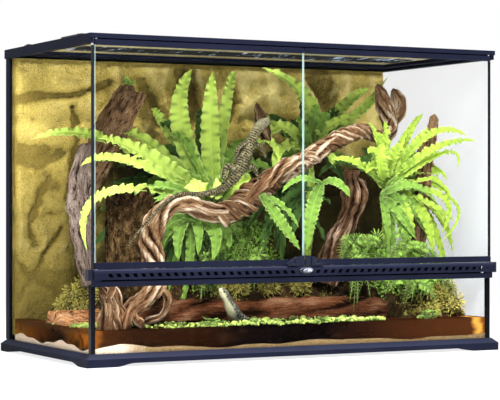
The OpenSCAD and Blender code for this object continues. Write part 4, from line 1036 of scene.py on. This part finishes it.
redCork = corkFinish("redCork", [(0.34, (0.030, 0.015, 0.008)), (0.45, (0.15, 0.082, 0.040)),
                                 (0.56, (0.31, 0.19, 0.10)), (0.70, (0.62, 0.47, 0.30))])
pinkCork = corkFinish("pinkCork", [(0.38, (0.045, 0.030, 0.024)), (0.48, (0.21, 0.15, 0.12)),
                                   (0.58, (0.40, 0.31, 0.26)), (0.74, (0.66, 0.56, 0.47))])
darkCork = corkFinish("darkCork", [(0.40, (0.005, 0.003, 0.002)), (0.51, (0.045, 0.026, 0.010)),
                                   (0.60, (0.15, 0.090, 0.035)), (0.72, (0.42, 0.29, 0.13))],
                      stretch=0.45, size=9)
orangeCork = corkFinish("orangeCork", [(0.34, (0.050, 0.016, 0.007)), (0.46, (0.30, 0.11, 0.038)),
                                       (0.58, (0.60, 0.30, 0.13)), (0.72, (0.82, 0.60, 0.42))], stretch=0.5)


def makeHalfPipe(look):
    lean = math.radians(look["lean"])

    def shape(u, v):
        along = (v - 0.5) * 2
        ragged = 9 * np.sin(u * 19 + 1) + 6 * np.sin(u * 43)
        run = v * look["long"] + np.where(np.abs(along) > 0.9, (ragged * 0.6 - 6) * np.sign(along), 0)
        angle = np.radians(84 + u * 192)
        wave = 1 + 0.07 * np.sin(v * 9 + 2) + 0.05 * np.sin(u * 14 + v * 5)
        reach = (look["outer"] - 5) * wave
        x, y = np.cos(angle) * reach, np.sin(angle) * reach
        return np.stack([look["at"][0] + x * math.cos(lean) + run * math.sin(lean),
                         look["at"][1] + y,
                         look["at"][2] + run * math.cos(lean) - x * math.sin(lean)], axis=1)

    pipe = thicken(gridPiece("halfPipe", 60, 120, shape, (1.3, 2.5)), look["outer"] - look["inner"])
    return roughen(pipe, 0.0032, 0.018, 91, 5)


def makeStump(look):
    outer, inner, top = look["outer"], look["inner"], look["high"]
    edge = np.array([    # half of its section, from the middle of the foot to the middle of the hollow
        (0, 0), (outer, 0), (outer, top * 0.5), (outer - 2, top - 4), (outer - 7, top), (inner + 2, top - 3),
        (inner, top - 30), (inner, look["floor"]), (0, look["floor"])], float)
    run = edgeRuns(edge)

    def shape(u, v):
        angle = (u % 1.0) * 2 * np.pi
        radius, high = np.interp(v * run[-1], run, edge[:, 0]), np.interp(v * run[-1], run, edge[:, 1])
        ragged = (8 * np.sin(angle * 3 + 1) + 6 * np.sin(angle * 7) + 4 * np.sin(angle * 13 + 2)) - 8
        high = high + np.where(high > top - 40, ragged * np.clip((high - top + 40) / 40, 0, 1), 0)
        radius = radius * (1 + 0.035 * np.sin(angle * 5 + high / 60) * (radius > inner + 4))
        return np.stack([look["at"][0] + radius * np.cos(angle), look["at"][1] + radius * np.sin(angle),
                         look["at"][2] + high], axis=1)

    stump = mergeSeams(gridPiece("stump", 96, 130, shape, (3.6, 5.6)))
    foot = (look["at"][2] + 2) / 1000    # below this it stays smooth, in metres
    return roughen(stump, 0.0042, 0.02, 95, 5, keep=lambda p: np.clip((p[:, 2] - foot) / 0.02, 0, 1))


def slabSection(wide, thick):
    def section(angle, share, run):
        flat = 1 / ((np.abs(np.cos(angle)) / wide) ** 4 + (np.abs(np.sin(angle)) / thick) ** 4) ** 0.25
        return flat * (1 + 0.08 * np.sin(run / 21) + 0.05 * np.sin(run / 9 + 2))
    return section


slabPath = [(x, 60 + (z - 130) * 0.105, z, wide) for x, z, wide in corkLook["slab"]]    # it leans back
slab = limbPiece("slab", slabPath, 60, 120, slabSection(1.0, 0.29))
shore = blockPiece("shore", corkLook["shore"], *corkLook["shoreEnds"], 60, 40)
fitNode(makeHalfPipe(corkLook["halfPipe"]), redCork, ["cork_half_pipe"], smooth=60)
fitNode(roughen(slab, 0.0026, 0.02, 97, 5), pinkCork, ["cork_slab"])
fitNode(makeStump(corkLook["stump"]), darkCork, ["cork_stump"], smooth=60)
fitNode(roughen(shore, 0.005, 0.03, 99, 5), orangeCork, ["shore_cork"])
stick = limbPiece("stick", woodLook["stick"], 32, 130, twisted(4, 0.6, 0.3, 19))
fitNode(roughen(stick, 0.0036, 0.015, 101, 5), redCork, ["cork_stick"])
print("cork set")

fernLook = {"waves": 24.0, "scallop": 0.07, "nick": 0.02, "ruffle": 6.5, "slim": 0.80, "cup": 0.15,
            "rib": 1.4, "stalk": 0.28, "across": 14, "step": 2.5, "wall": 0.9}
leafLooks = {    # what differs from the fern's leaves
    "left": fernLook,
    "right": dict(fernLook, slim=0.72, waves=17.0, scallop=0.10, nick=0.05, ruffle=5.0),
    "hang": dict(fernLook, waves=15.0, scallop=0.14, nick=0.09, ruffle=4.0),
    "broad": dict(fernLook, waves=18.0, ruffle=5.0, cup=0.14, slim=0.85),
}
crowns = {    # crown, then each frond's middle, tip and width
    "fernLeft": ((-50, 60, 295), [
        ((-115, 85, 455), (-80, 105, 572), 52), ((-60, 60, 445), (-50, 70, 565), 50),
        ((-12, 85, 500), (20, 105, 568), 30), ((-205, 40, 390), (-325, 20, 425), 44),
        ((-195, 85, 425), (-260, 95, 425), 30), ((-260, 100, 422), (-412, 145, 425), 34),
        ((-255, 20, 380), (-365, 10, 370), 26), ((-330, -40, 318), (-380, -55, 210), 26),
        ((40, 40, 425), (80, 20, 370), 26), ((-95, 20, 325), (-135, 0, 340), 40),
        ((-130, 120, 450), (-155, 130, 485), 30), ((-20, 60, 240), (0, 70, 128), 30),
        ((-105, -15, 318), (-160, -25, 328), 54), ((-62, -5, 332), (-92, -25, 330), 58),
        ((-30, 0, 335), (-10, -25, 345), 46)]),
    "fernMiddle": ((180, 80, 405), [
        ((190, 105, 515), (95, 125, 582), 46), ((290, 120, 505), (360, 130, 545), 34),
        ((320, 100, 495), (362, 100, 530), 26), ((110, 60, 455), (50, 40, 420), 34),
        ((225, 60, 462), (295, 50, 482), 28), ((95, 40, 410), (70, 20, 350), 34),
        ((185, 20, 408), (205, 10, 370), 30), ((105, 100, 465), (70, 110, 495), 16),
        ((275, 90, 460), (395, 110, 570), 26), ((190, 90, 280), (180, 95, 138), 30)]),
    "fernRight": ((295, -45, 330), [
        ((360, -100, 435), (418, -160, 435), 26), ((355, -120, 405), (420, -188, 425), 28),
        ((382, -130, 400), (395, -160, 370), 14), ((335, -95, 375), (385, -130, 402), 42),
        ((262, -70, 375), (270, -75, 420), 50), ((378, -130, 310), (375, -130, 235), 18),
        ((345, -95, 285), (365, -115, 190), 34), ((312, -90, 290), (330, -95, 240), 24),
        ((345, -105, 345), (372, -120, 350), 14), ((345, -40, 430), (395, -30, 485), 26),
        ((205, -80, 378), (145, -78, 385), 26), ((300, -40, 230), (300, -50, 114), 26),
        ((408, -128, 300), (372, -132, 216), 11), ((350, -110, 300), (398, -140, 262), 20)]),
    "pipeTop": ((-204, 150, 520), [
        ((-206, 150, 542), (-210, 150, 560), 16), ((-198, 150, 536), (-186, 150, 548), 12)]),
    "hangingLeft": ((-26, -92, 314), [
        ((9, -104, 264), (57, -104, 205), 34), ((20, -98, 292), (56, -100, 250), 18)]),
    "hangingRight": ((116, -88, 336), [
        ((84, -104, 280), (73, -104, 203), 36), ((150, -92, 338), (176, -98, 310), 24),
        ((60, -96, 345), (18, -100, 318), 18)]),
    "broad": ((-150, -25, 268), [
        ((-200, -30, 250), (-222, -32, 190), 34), ((-180, -45, 240), (-186, -55, 185), 30),
        ((-140, -45, 250), (-145, -55, 195), 24), ((-108, -50, 245), (-115, -60, 185), 34),
        ((-80, -30, 248), (-65, -30, 205), 26), ((-145, -20, 190), (-150, 8, 92), 22)]),
}


def leafFinish(name, dark, light, rib, rough=0.32, veins=22.0, veinShare=0.22, tone=0.8):
    # tone is the share of light and dark that comes from the piece's ridge value: on blades that is painted
    # light and shade on the ruffled edges, on scattered copies a random tone for each copy
    finish = Finish(name)
    u, v, _ = finish.axes(finish.place(onUv=True))
    cloud, fine = finish.noise(19, detail=4), finish.noise(170, detail=3)
    colour = finish.mix(finish.step(cloud * (1.0 - tone) + finish.ridge() * tone, 0.16, 0.60), dark, light)
    off = abs(u - 0.5)
    middle = finish.step(off, 0.055, 0.012)
    veinLine = finish.step(finish.wave(v * veins + off * 6.0), 0.34, 0.0)
    colour = finish.mix(finish.step(v + (cloud - 0.5) * 0.3, 0.50, 0.05) * 0.65, colour, dark)
    # the blade's margins are painted lighter: painted highlight
    colour = finish.mix(finish.step(off, 0.36, 0.49) * 0.30, colour, rib)
    colour = finish.mix(veinLine * veinShare, colour, rib)
    colour = finish.mix(middle * 0.22, colour, rib)
    colour = finish.mix(finish.step(v, 0.72, 1.0) * 0.4, colour, tuple(min(1.0, c * 1.25) for c in light))
    colour = finish.mix(finish.step(fine, 0.52, 0.72) * 0.25, colour, light)
    return finish.shade(colour=colour, rough=cloud * 0.2 + (rough - 0.1), specular=0.04,
                        normal=finish.bump(veinLine * 0.3 + middle * 0.5 + fine * 0.2, 0.4, 0.0012))


brightLeaf = leafFinish("brightLeaf", (0.035, 0.110, 0.010), (0.58, 0.78, 0.140), (0.66, 0.82, 0.30),
                        veinShare=0.14)
goldLeaf = leafFinish("goldLeaf", (0.030, 0.100, 0.010), (0.37, 0.53, 0.065), (0.56, 0.68, 0.20),
                      veinShare=0.14)
freshLeaf = leafFinish("freshLeaf", (0.012, 0.040, 0.007), (0.20, 0.36, 0.055), (0.50, 0.66, 0.22),
                       rough=0.28, veinShare=0.14)
# leaves coloured much darker for fronds set back among the others: painted shade
shadedLeaf = leafFinish("shadedLeaf", (0.006, 0.018, 0.006), (0.060, 0.125, 0.026), (0.14, 0.25, 0.06), tone=0.6)


def makeCrown(name, words, look, seed):
    base, fronds = words
    return joinPieces(name, [bladePiece(name + str(number), base, frond, look, seed + number)
                             for number, frond in enumerate(fronds)])


def fanFronds(base, count, seed, spread, reach, wide, back):
    # more blades between the main ones; spread is the fan's two angles from straight up, in degrees
    turn = random.Random(seed)
    made = []
    for number in range(count):
        angle = math.radians(spread[0] + (spread[1] - spread[0]) * (number + turn.uniform(0.1, 0.9)) / count)
        long, deep = turn.uniform(*reach), turn.uniform(*back)
        droop = long * turn.uniform(0.10, 0.38)
        tip = (base[0] + math.sin(angle) * long, base[1] + deep, base[2] + math.cos(angle) * long - droop)
        middle = (base[0] + math.sin(angle) * long * 0.55, base[1] + deep * 0.6,
                  base[2] + math.cos(angle) * long * 0.55 + droop * 0.25)
        tip = (max(-418, min(418, tip[0])), max(-186, min(170, tip[1])), max(84, min(568, tip[2])))
        made.append((middle, tip, turn.uniform(*wide)))
    return base, made


plants = [    # crown, look, seed, finish, slot, nodes
    ("fernLeft", "left", 200, brightLeaf, "leaf_bright", ["fern_left"]),
    ("fernMiddle", "left", 300, brightLeaf, "leaf_bright", ["fern_middle"]),
    ("fernRight", "right", 400, goldLeaf, "leaf_bright", ["fern_right"]),
    ("hangingLeft", "hang", 500, freshLeaf, "leaf_bright", []),
    ("hangingRight", "hang", 510, freshLeaf, "leaf_bright", []),
    ("broad", "broad", 600, freshLeaf, "leaf_dark", ["broad_leaf_plant"]),
    ("pipeTop", "left", 560, freshLeaf, "leaf_bright", [])]
fans = [    # name, look, base, count, seed, spread, reach, widths, finish, depths
    ("leftShade", "left", (-60, 80, 300), 15, 1, (-105, 70), (150, 250), (24, 44), shadedLeaf, (10, 70)),
    ("leftMore", "left", (-50, 64, 298), 9, 2, (-95, 60), (110, 210), (24, 38), freshLeaf, (-20, 30)),
    ("middleShade", "left", (185, 90, 402), 10, 3, (-120, 120), (90, 170), (22, 36), shadedLeaf, (10, 60)),
    ("middleMore", "left", (180, 70, 400), 7, 4, (-100, 100), (80, 150), (24, 34), freshLeaf, (-30, 20)),
    ("rightShade", "right", (300, -30, 328), 12, 5, (-70, 150), (100, 170), (20, 34), shadedLeaf, (10, 60)),
    ("rightMore", "right", (297, -50, 332), 16, 6, (-30, 140), (100, 185), (16, 30), goldLeaf, (-60, 10)),
    ("rightHeart", "right", (290, -45, 335), 8, 9, (-60, 70), (70, 120), (30, 44), goldLeaf, (-50, 0)),
    ("rightLow", "right", (266, -72, 312), 12, 11, (55, 178), (80, 160), (20, 32), freshLeaf, (-50, 10)),
    ("middleLow", "left", (60, -20, 330), 10, 12, (90, 250), (80, 150), (20, 30), shadedLeaf, (-20, 30)),
    ("leftLow", "left", (-120, -10, 300), 8, 13, (200, 290), (90, 170), (16, 26), freshLeaf, (-20, 40)),
    ("hangMore", "hang", (96, -50, 322), 7, 7, (-178, 20), (70, 120), (18, 28), shadedLeaf, (-20, 30)),
    ("broadMore", "left", (-150, -10, 262), 9, 8, (110, 250), (70, 130), (22, 34), shadedLeaf, (0, 40))]
for name, look, seed, finish, slotName, nodes in plants:
    fitNode(makeCrown(name + "Leaves", crowns[name], leafLooks[look], seed), finish, nodes)
for name, look, base, count, seed, spread, reach, wide, finish, back in fans:
    fan = fanFronds(base, count, seed, spread, reach, wide, back)
    fitNode(makeCrown(name, fan, leafLooks[look], 640 + seed * 20), finish)
print("ferns grown")

smallLook = {
    "creepers": [    # x, y, z and reach
        (-90, 25, 150, 34), (-45, 10, 195, 36), (5, 0, 225, 34), (40, 20, 170, 38), (272, -90, 140, 34),
        (305, -110, 175, 32), (340, -120, 140, 28), (240, -78, 178, 30)],
    "moss": [
        (-352, 120, 92, 22), (-338, 108, 112, 26), (-318, 96, 130, 26), (-330, 82, 88, 22),
        (-296, 60, 118, 30), (-60, 40, 128, 22), (-10, 34, 124, 22), (60, 30, 126, 22), (130, 24, 122, 20),
        (330, -150, 80, 26), (385, -150, 92, 30), (392, -110, 120, 28), (360, -140, 112, 20)],
    "slopes": [    # x range, then y and z along the slope, then tufts for each square centimetre
        ((-262, 268), [(24, 84), (46, 122), (100, 150), (186, 165)], 1.5),
        ((268, 428), [(-146, 70), (-100, 105), (-40, 130), (40, 140), (150, 160)], 2.2)],
    "feathers": [    # crown, count, side reach, height range of the tips
        ((300, -120, 205), 15, (-75, 75), (105, 215)), ((345, -128, 180), 12, (-60, 70), (84, 180)),
        ((250, -95, 200), 12, (-70, 60), (110, 215)), ((-45, 0, 235), 14, (-80, 80), (120, 250)),
        ((-80, -8, 228), 9, (-50, 60), (125, 240)), ((205, -60, 215), 9, (-60, 60), (110, 210)),
        ((300, -150, 130), 10, (-90, 85), (80, 120)), ((-137, -72, 190), 4, (-30, 12), (100, 135)),
        ((-22, -72, 190), 3, (-20, 12), (96, 130)), ((190, -108, 185), 7, (-45, 20), (74, 140))],
    "floating": [(-60, -150), (-15, -120), (25, -165), (70, -140), (120, -165), (-110, -165), (-330, -90),
                 (-395, -60), (-355, -40), (160, -120), (200, -150), (-30, -60), (60, -90), (300, -180)],
    "sprigs": [(-190, -178, 58, 30), (60, -182, 58, 26), (310, -185, 60, 30)],
}


def leafPattern(name, wide, long, wall=0.6, cup=0.25, across=2, along=4):
    # one small leaf, its foot at the origin, pointing up z, its face towards -y
    bpy.ops.object.select_all(action='DESELECT')
    bpy.ops.mesh.primitive_grid_add(x_subdivisions=across, y_subdivisions=along, size=2)
    leaf = bpy.context.object
    leaf.name = name
    flat = readPoints(leaf)
    u, v = flat[:, 0], (flat[:, 1] + 1) / 2
    reach = u * wide / 2 * (0.12 + 0.88 * np.sin(np.pi * np.clip(v, 0.02, 0.98)) ** 0.7)
    dish = -cup * wide * (np.abs(u) * 0.5 + 1.2 * v ** 2)
    writePoints(leaf, np.stack([reach, dish, v * long], axis=1) * 0.001)
    return thicken(leaf, wall)


def spotMatrix(place, out, size, turn):
    # stands the pattern's z along out at place, in metres, turned about itself
    facing = Vector(out).to_track_quat('Z', 'Y').to_matrix().to_4x4()
    return Matrix.Translation(Vector(place)) @ facing @ Matrix.Rotation(turn, 4, 'Z') @ Matrix.Scale(size, 4)


def tuftSpots(centre, reach, count, seed, flat=1.0, sizes=(0.7, 1.3)):
    # leaves all over a ball of reach millimetres, facing outwards
    turn = random.Random(seed)
    spots = []
    for _ in range(count):
        way = Vector((turn.gauss(0, 1), turn.gauss(0, 1), turn.gauss(0.3, 0.8) * flat)).normalized()
        inner = turn.uniform(0.35, 1.0)
        place = toFrame(np.array(centre[:3]) + np.array(way) * reach * inner)
        droop = Vector((way.x, way.y, way.z - turn.uniform(-0.2, 0.6)))
        spots.append(spotMatrix(place, droop, turn.uniform(*sizes), turn.uniform(0, 6.28)))
    return spots


def makeMossBall(name, centre, reach, seed):
    bpy.ops.object.select_all(action='DESELECT')
    bpy.ops.mesh.primitive_ico_sphere_add(subdivisions=4, radius=reach * 0.00082,
                                          location=toFrame(centre), calc_uvs=True)
    ball = bpy.context.object
    ball.name = name
    bpy.ops.object.transform_apply(location=True, rotation=True, scale=True)
    return roughen(ball, reach * 0.00028, reach * 0.0006, seed, 5)


mossGreen = leafFinish("mossGreen", (0.050, 0.045, 0.008), (0.60, 0.52, 0.11), (0.66, 0.60, 0.20),
                       rough=0.75, veins=3.0, tone=0.6)
creeperGreen = leafFinish("creeperGreen", (0.008, 0.034, 0.006), (0.26, 0.48, 0.060), (0.46, 0.66, 0.17),
                          rough=0.4, veins=4.0)
floatGreen = leafFinish("floatGreen", (0.045, 0.10, 0.012), (0.44, 0.58, 0.11), (0.66, 0.76, 0.30),
                        rough=0.3, veins=5.0, tone=0.9)
fernGreen = leafFinish("fernGreen", (0.016, 0.055, 0.008), (0.27, 0.47, 0.070), (0.55, 0.72, 0.22),
                       rough=0.35, veins=5.0)


def slopeSpots(slopes, seed, thin, sizes):
    # tufts over the banks, thick where the noise is high
    turn, spots = random.Random(seed), []
    for (x0, x1), line, dense in slopes:
        ys, zs = [p[0] for p in line], [p[1] for p in line]
        for _ in range(int((x1 - x0) * (ys[-1] - ys[0]) / 100 * dense * 1.3)):
            x = turn.uniform(x0 + 3, x1 - 3)
            if turn.random() < 0.5:
                y = turn.uniform(ys[0], ys[-1])
            else:
                y = ys[0] + (ys[-1] - ys[0]) * turn.random() ** 2.5    # thicker towards the front
            z = float(np.interp(y, ys, zs))
            patch = noise.fractal(Vector((x, y, z)) / 46, 1.0, 2.1, 3)
            if patch < thin + turn.uniform(-0.15, 0.15):
                continue
            way = (turn.uniform(-0.9, 0.9), turn.uniform(-1.2, 0.1), turn.uniform(0.1, 1.0))
            lift = turn.uniform(-2, 5) + 9 * max(0.0, patch)
            spots.append(spotMatrix(toFrame((x, y - 3, z + lift)), way,
                                    turn.uniform(*sizes), turn.uniform(0, 6.28)))
    return spots


mossSpots, mossBalls = [], []
for number, spot in enumerate(smallLook["moss"]):
    mossSpots += tuftSpots(spot, spot[3] * 0.95, 380, 700 + number, 0.8)
    mossBalls.append(makeMossBall("mossBall%d" % number, spot[:3], spot[3] * 0.72, 720 + number))
moss = scatter("mossTufts", leafPattern("mossLeaf", 1.6, 7.0, 0.6, 0.6, 2, 2), mossSpots)
fitNode(joinPieces("moss", [moss] + mossBalls), mossGreen, ["moss"])
bankMoss = scatter("bankMoss", leafPattern("mossLeaf", 1.6, 7.0, 0.6, 0.6, 2, 2),
                   slopeSpots(smallLook["slopes"], 71, -0.12, (0.5, 1.1)))
fitNode(bankMoss, mossGreen)


def featherSpots(base, tip, droop, wide, pairs, seed):
    # leaflets in pairs along a hanging stem, longest about a third of the way from the crown
    turn = random.Random(seed)
    base, tip = np.array(base, float), np.array(tip, float)
    middle = (base + tip) / 2 + (0, 0, droop)
    spots = []
    for number in range(pairs):
        t = np.array([0.12 + 0.86 * number / (pairs - 1)])
        spot = arcPoint(base, middle, tip, t)[0]
        ahead = unit(arcPoint(base, middle, tip, t + 0.01)[0] - spot)
        out = unit(np.cross(ahead, leafFace))
        size = wide * math.sin(math.pi * (0.9 * float(t[0]) + 0.1) ** 0.7) / 12
        for hand in (-1, 1):
            way = out * hand + ahead * 0.45 + np.array((0, -0.1, turn.uniform(-0.15, 0.05)))
            spots.append(spotMatrix(toFrame(spot), way, max(0.25, size * turn.uniform(0.9, 1.1)),
                                    turn.uniform(-0.3, 0.3)))
    return spots, [(*base, 1.1), (*middle, 0.9), (*tip, 0.5)]


featherAll, featherStems = [], []
for number, (crown, count, sideways, heights) in enumerate(smallLook["feathers"]):
    turn = random.Random(1200 + number)
    for frond in range(count):
        tip = (max(-410, min(412, crown[0] + turn.uniform(*sideways))),
               max(-188, crown[1] - turn.uniform(-18, 42)), turn.uniform(*heights))
        spots, line = featherSpots(crown, tip, turn.uniform(8, 34), turn.uniform(11, 17), 17, 1300 + frond)
        featherAll += spots
        featherStems.append(limbPiece("featherStem", line, 5, 14))
feathers = scatter("featherLeaves", leafPattern("featherLeaf", 4.0, 12, 0.5, 0.1, 2, 3), featherAll)
fitNode(joinPieces("feathers", [feathers] + featherStems), fernGreen)

creeperSpots, stems = [], []
for number, spot in enumerate(smallLook["creepers"]):
    creeperSpots += tuftSpots(spot, spot[3] * 1.1, 520, 800 + number, 1.0)
    turn = random.Random(830 + number)
    for vineNumber in range(5):
        line = [(spot[0] + turn.uniform(-8, 8), spot[1] + 8, spot[2] - spot[3] * 0.6, 0.9)]
        for _ in range(4):
            last = line[-1]
            line.append((last[0] + turn.uniform(-16, 16), last[1] + turn.uniform(-10, 6),
                         last[2] + turn.uniform(4, 20), 0.9))
        stems.append(limbPiece("stem%d" % vineNumber, line, 6, 16))
leaves = scatter("creeperLeaves", leafPattern("creeperLeaf", 4.6, 6.0, 0.5, 0.12, 2, 2), creeperSpots)
fitNode(joinPieces("creepers", [leaves] + stems), creeperGreen, ["fine_creepers"])

floatSpots = []
turn = random.Random(77)
pads = [(turn.uniform(-405, 60), -202 + 130 * turn.random() ** 1.6, turn.uniform(0.16, 0.44))
        for _ in range(230)]
pads += [(turn.uniform(-425, -340), turn.uniform(-150, 30), turn.uniform(0.2, 0.5)) for _ in range(60)]
pads += [(x, y, 0.8) for x, y in smallLook["floating"]]
pads += [(x, -150 - 40 * turn.random(), turn.uniform(0.45, 0.8)) for x in range(64, 216, 9)]
pads = [(x, y, size) for x, y, size in pads if not (-410 < x < -310 and y < -140)]    # open by the root
for x, y, size in pads:
    for leafNumber in range(6):
        swing = leafNumber * 1.05 + turn.uniform(-0.3, 0.3)
        rise = turn.uniform(0.02, 0.22)
        foot = toFrame((x + 3 * math.cos(swing), y + 3 * math.sin(swing), waterLook["afloat"]))
        floatSpots.append(spotMatrix(foot, (math.cos(swing), math.sin(swing), rise),
                                     size * turn.uniform(0.7, 1.25), turn.uniform(-0.3, 0.3) + math.pi / 2))
floating = scatter("floatingLeaves", leafPattern("floatLeaf", 14, 18, 0.7, 0.1, 2, 4), floatSpots)
fitNode(floating, floatGreen)

sprigSpots, sprigStems = [], []
for number, (x, y, z, high) in enumerate(smallLook["sprigs"]):
    turn = random.Random(950 + number)
    for _ in range(3):
        line, foot, steps = [(x + turn.uniform(-6, 6), y + turn.uniform(-4, 8), 33, 0.8)], 33, 5
        for step in range(steps):
            last = line[-1]
            line.append((last[0] + turn.uniform(-7, 7), last[1] + turn.uniform(-3, 3),
                         foot + (z + high * 0.6 - foot) * (step + 1) / steps, 0.8))
        sprigStems.append(limbPiece("sprigStem", line, 6, 20))
        path, _ = smoothPath(line, 12)
        for spot in path[2:]:
            for side in (-1, 1):
                swing = turn.uniform(-0.6, 0.6)
                way = (side * math.cos(swing), -0.4, 0.6 + swing * 0.3)
                sprigSpots.append(spotMatrix(toFrame(spot[:3]), way, turn.uniform(0.7, 1.2),
                                             turn.uniform(-0.4, 0.4)))
sprigs = scatter("sprigLeaves", leafPattern("sprigLeaf", 5.5, 12, 0.6), sprigSpots)
fitNode(joinPieces("sprigs", [sprigs] + sprigStems), freshLeaf)
print("small plants set")

lizardLook = {    # paths of x, y, z and radius
    "body": [(-1, -88, 458, 3.5), (-7, -88, 459, 7), (-17, -88, 455, 9.5), (-27, -88, 447, 10.5),
             (-37, -90, 436, 8.5), (-48, -92, 418, 10), (-60, -92, 394, 14), (-74, -92, 366, 14.5),
             (-90, -88, 341, 10.5), (-112, -78, 322, 7.5), (-150, -70, 315, 5.2), (-192, -70, 315, 4.2),
             (-240, -84, 290, 3), (-282, -86, 248, 2.4), (-312, -88, 212, 1.6)],
    "legs": [[(-48, -92, 418, 6), (-76, -100, 408, 5), (-86, -100, 386, 3.6)],
             [(-44, -86, 416, 6), (-20, -80, 410, 5), (-8, -76, 394, 3.6)],
             [(-78, -96, 360, 8), (-106, -104, 368, 6.5), (-112, -100, 340, 4)],
             [(-72, -88, 358, 8), (-46, -90, 370, 6.5), (-30, -92, 350, 4)]],
    "bather": [(-119, -94, 131, 2.5), (-114, -94, 128, 5.5), (-107, -93, 121, 8.5), (-101, -92, 112, 8.8),
               (-96, -91, 103, 9.5), (-89, -90, 91, 12), (-80, -88, 79, 13.5), (-66, -86, 69, 12),
               (-46, -84, 62, 8), (-14, -76, 63, 5), (14, -70, 58, 3)],
    "eyes": [(-16, -96.5, 457, 2.3), (-13, -80, 459, 2.3), (-110, -101, 125, 2.0)],
}


def scaleFinish(name, dark, middle, pale, bands, headHigh, belly=None):
    # banded scales, a plainer head above headHigh metres and a pale belly towards -x
    finish = Finish(name)
    u, v, _ = finish.axes(finish.place(onUv=True))
    scales = finish.cells(700)
    cloud = finish.noise(210, detail=4, rough=0.65)
    band = finish.wave(v * bands + abs(u - 0.3) * 1.2 + cloud * 0.5)
    colour = finish.mix(finish.step(band, 0.40, 0.60), middle, dark)
    colour = finish.mix(finish.step(cloud, 0.52, 0.62) * 0.5, colour, pale)
    colour = finish.mix(finish.step(scales, 0.35, 0.05) * 0.45, colour, pale)
    high = finish.axis(finish.place(), 2) + (cloud - 0.5) * 0.01
    colour = finish.mix(finish.step(high, headHigh, headHigh + 0.014) * 0.5, colour, (0.20, 0.19, 0.12))
    if belly:
        below = finish.step(finish.facing(0) + (cloud - 0.5) * 0.8, 0.05, -0.35)
        colour = finish.mix(below, colour, belly)
    return finish.shade(colour=colour, rough=cloud * 0.15 + 0.5, specular=0.03,
                        normal=finish.bump(scales, 0.7, 0.0016))


def footToes(foot, knee, seed):
    turn, toes = random.Random(seed), []
    foot = np.array(foot[:3], float)
    way = unit(foot - np.array(knee[:3], float))
    for number in range(4):
        spread = (number - 1.5) * 0.45
        toe = unit(way + np.array((spread, turn.uniform(-0.2, 0.1), -0.15 * abs(spread))))
        toe *= 10 - abs(spread) * 3
        path = [(*foot, 1.6), (*(foot + toe * 0.5), 1.3), (*(foot + toe), 0.8)]
        toes.append(limbPiece("toe%d" % number, path, 8, 8))
    return toes


def eyePiece(x, y, z, radius):
    # a bead with a narrow rim, drawn from back to front
    steps = [(1.6, 0.7), (0.8, 1.05), (-0.2, 0.85), (-1.4, 0.7), (-2.0, 0.3)]
    return limbPiece("eye", [(x, y + away, z, radius * share) for away, share in steps], 16, 14)


def bodySection(angle, share, run):
    # the head, the first eighth, is broader across, and the rest has low rings
    return (1 + 0.05 * np.sin(run / 7) * (share > 0.1)
            + 0.09 * np.clip(np.cos(angle * 2), 0, 1) * (share < 0.12))


def makeLizard(name, path, legs, rings, seed):
    parts = [limbPiece(name, path, 24, rings, bodySection)]
    line, _ = smoothPath(path, 60)
    for number, (x, y, z, r) in enumerate(line[6:34]):    # a low crest of spines down the back
        out = unit(np.cross(line[7 + number][:3] - line[5 + number][:3], (0, 0.9, -0.45)))
        foot = np.array((x, y, z)) + out * r * 0.85 + (0, -1, 0)
        spine = [(*foot, 1.7), (*(foot + out * 2.2), 1.1), (*(foot + out * 4.4), 0.3)]
        parts.append(limbPiece(name + "spine", spine, 6, 4, caps=1))
    for number, leg in enumerate(legs):
        parts.append(limbPiece(name + "leg", leg, 12, 20))
        parts += footToes(leg[2], leg[1], seed + number)
    return joinPieces(name, parts)


climberSkin = scaleFinish("climberSkin", (0.012, 0.010, 0.006), (0.105, 0.090, 0.042), (0.38, 0.35, 0.22),
                          bands=20.0, headHigh=0.438)
batherSkin = scaleFinish("batherSkin", (0.020, 0.024, 0.022), (0.10, 0.11, 0.085), (0.62, 0.62, 0.50),
                         bands=14.0, headHigh=0.112, belly=(0.66, 0.62, 0.40))
eyeBlack = plasticFinish("eyeBlack", (0.008, 0.007, 0.006), 0.08, coat=1.0)
climber = makeLizard("climber", lizardLook["body"], lizardLook["legs"], 260, 40)
fitNode(climber, climberSkin, ["lizard_figures"])
bather = makeLizard("bather", lizardLook["bather"], [], 100, 60)
fitNode(bather, batherSkin)
fitNode(joinPieces("eyes", [eyePiece(*spot) for spot in lizardLook["eyes"]]), eyeBlack)
print("lizards placed")
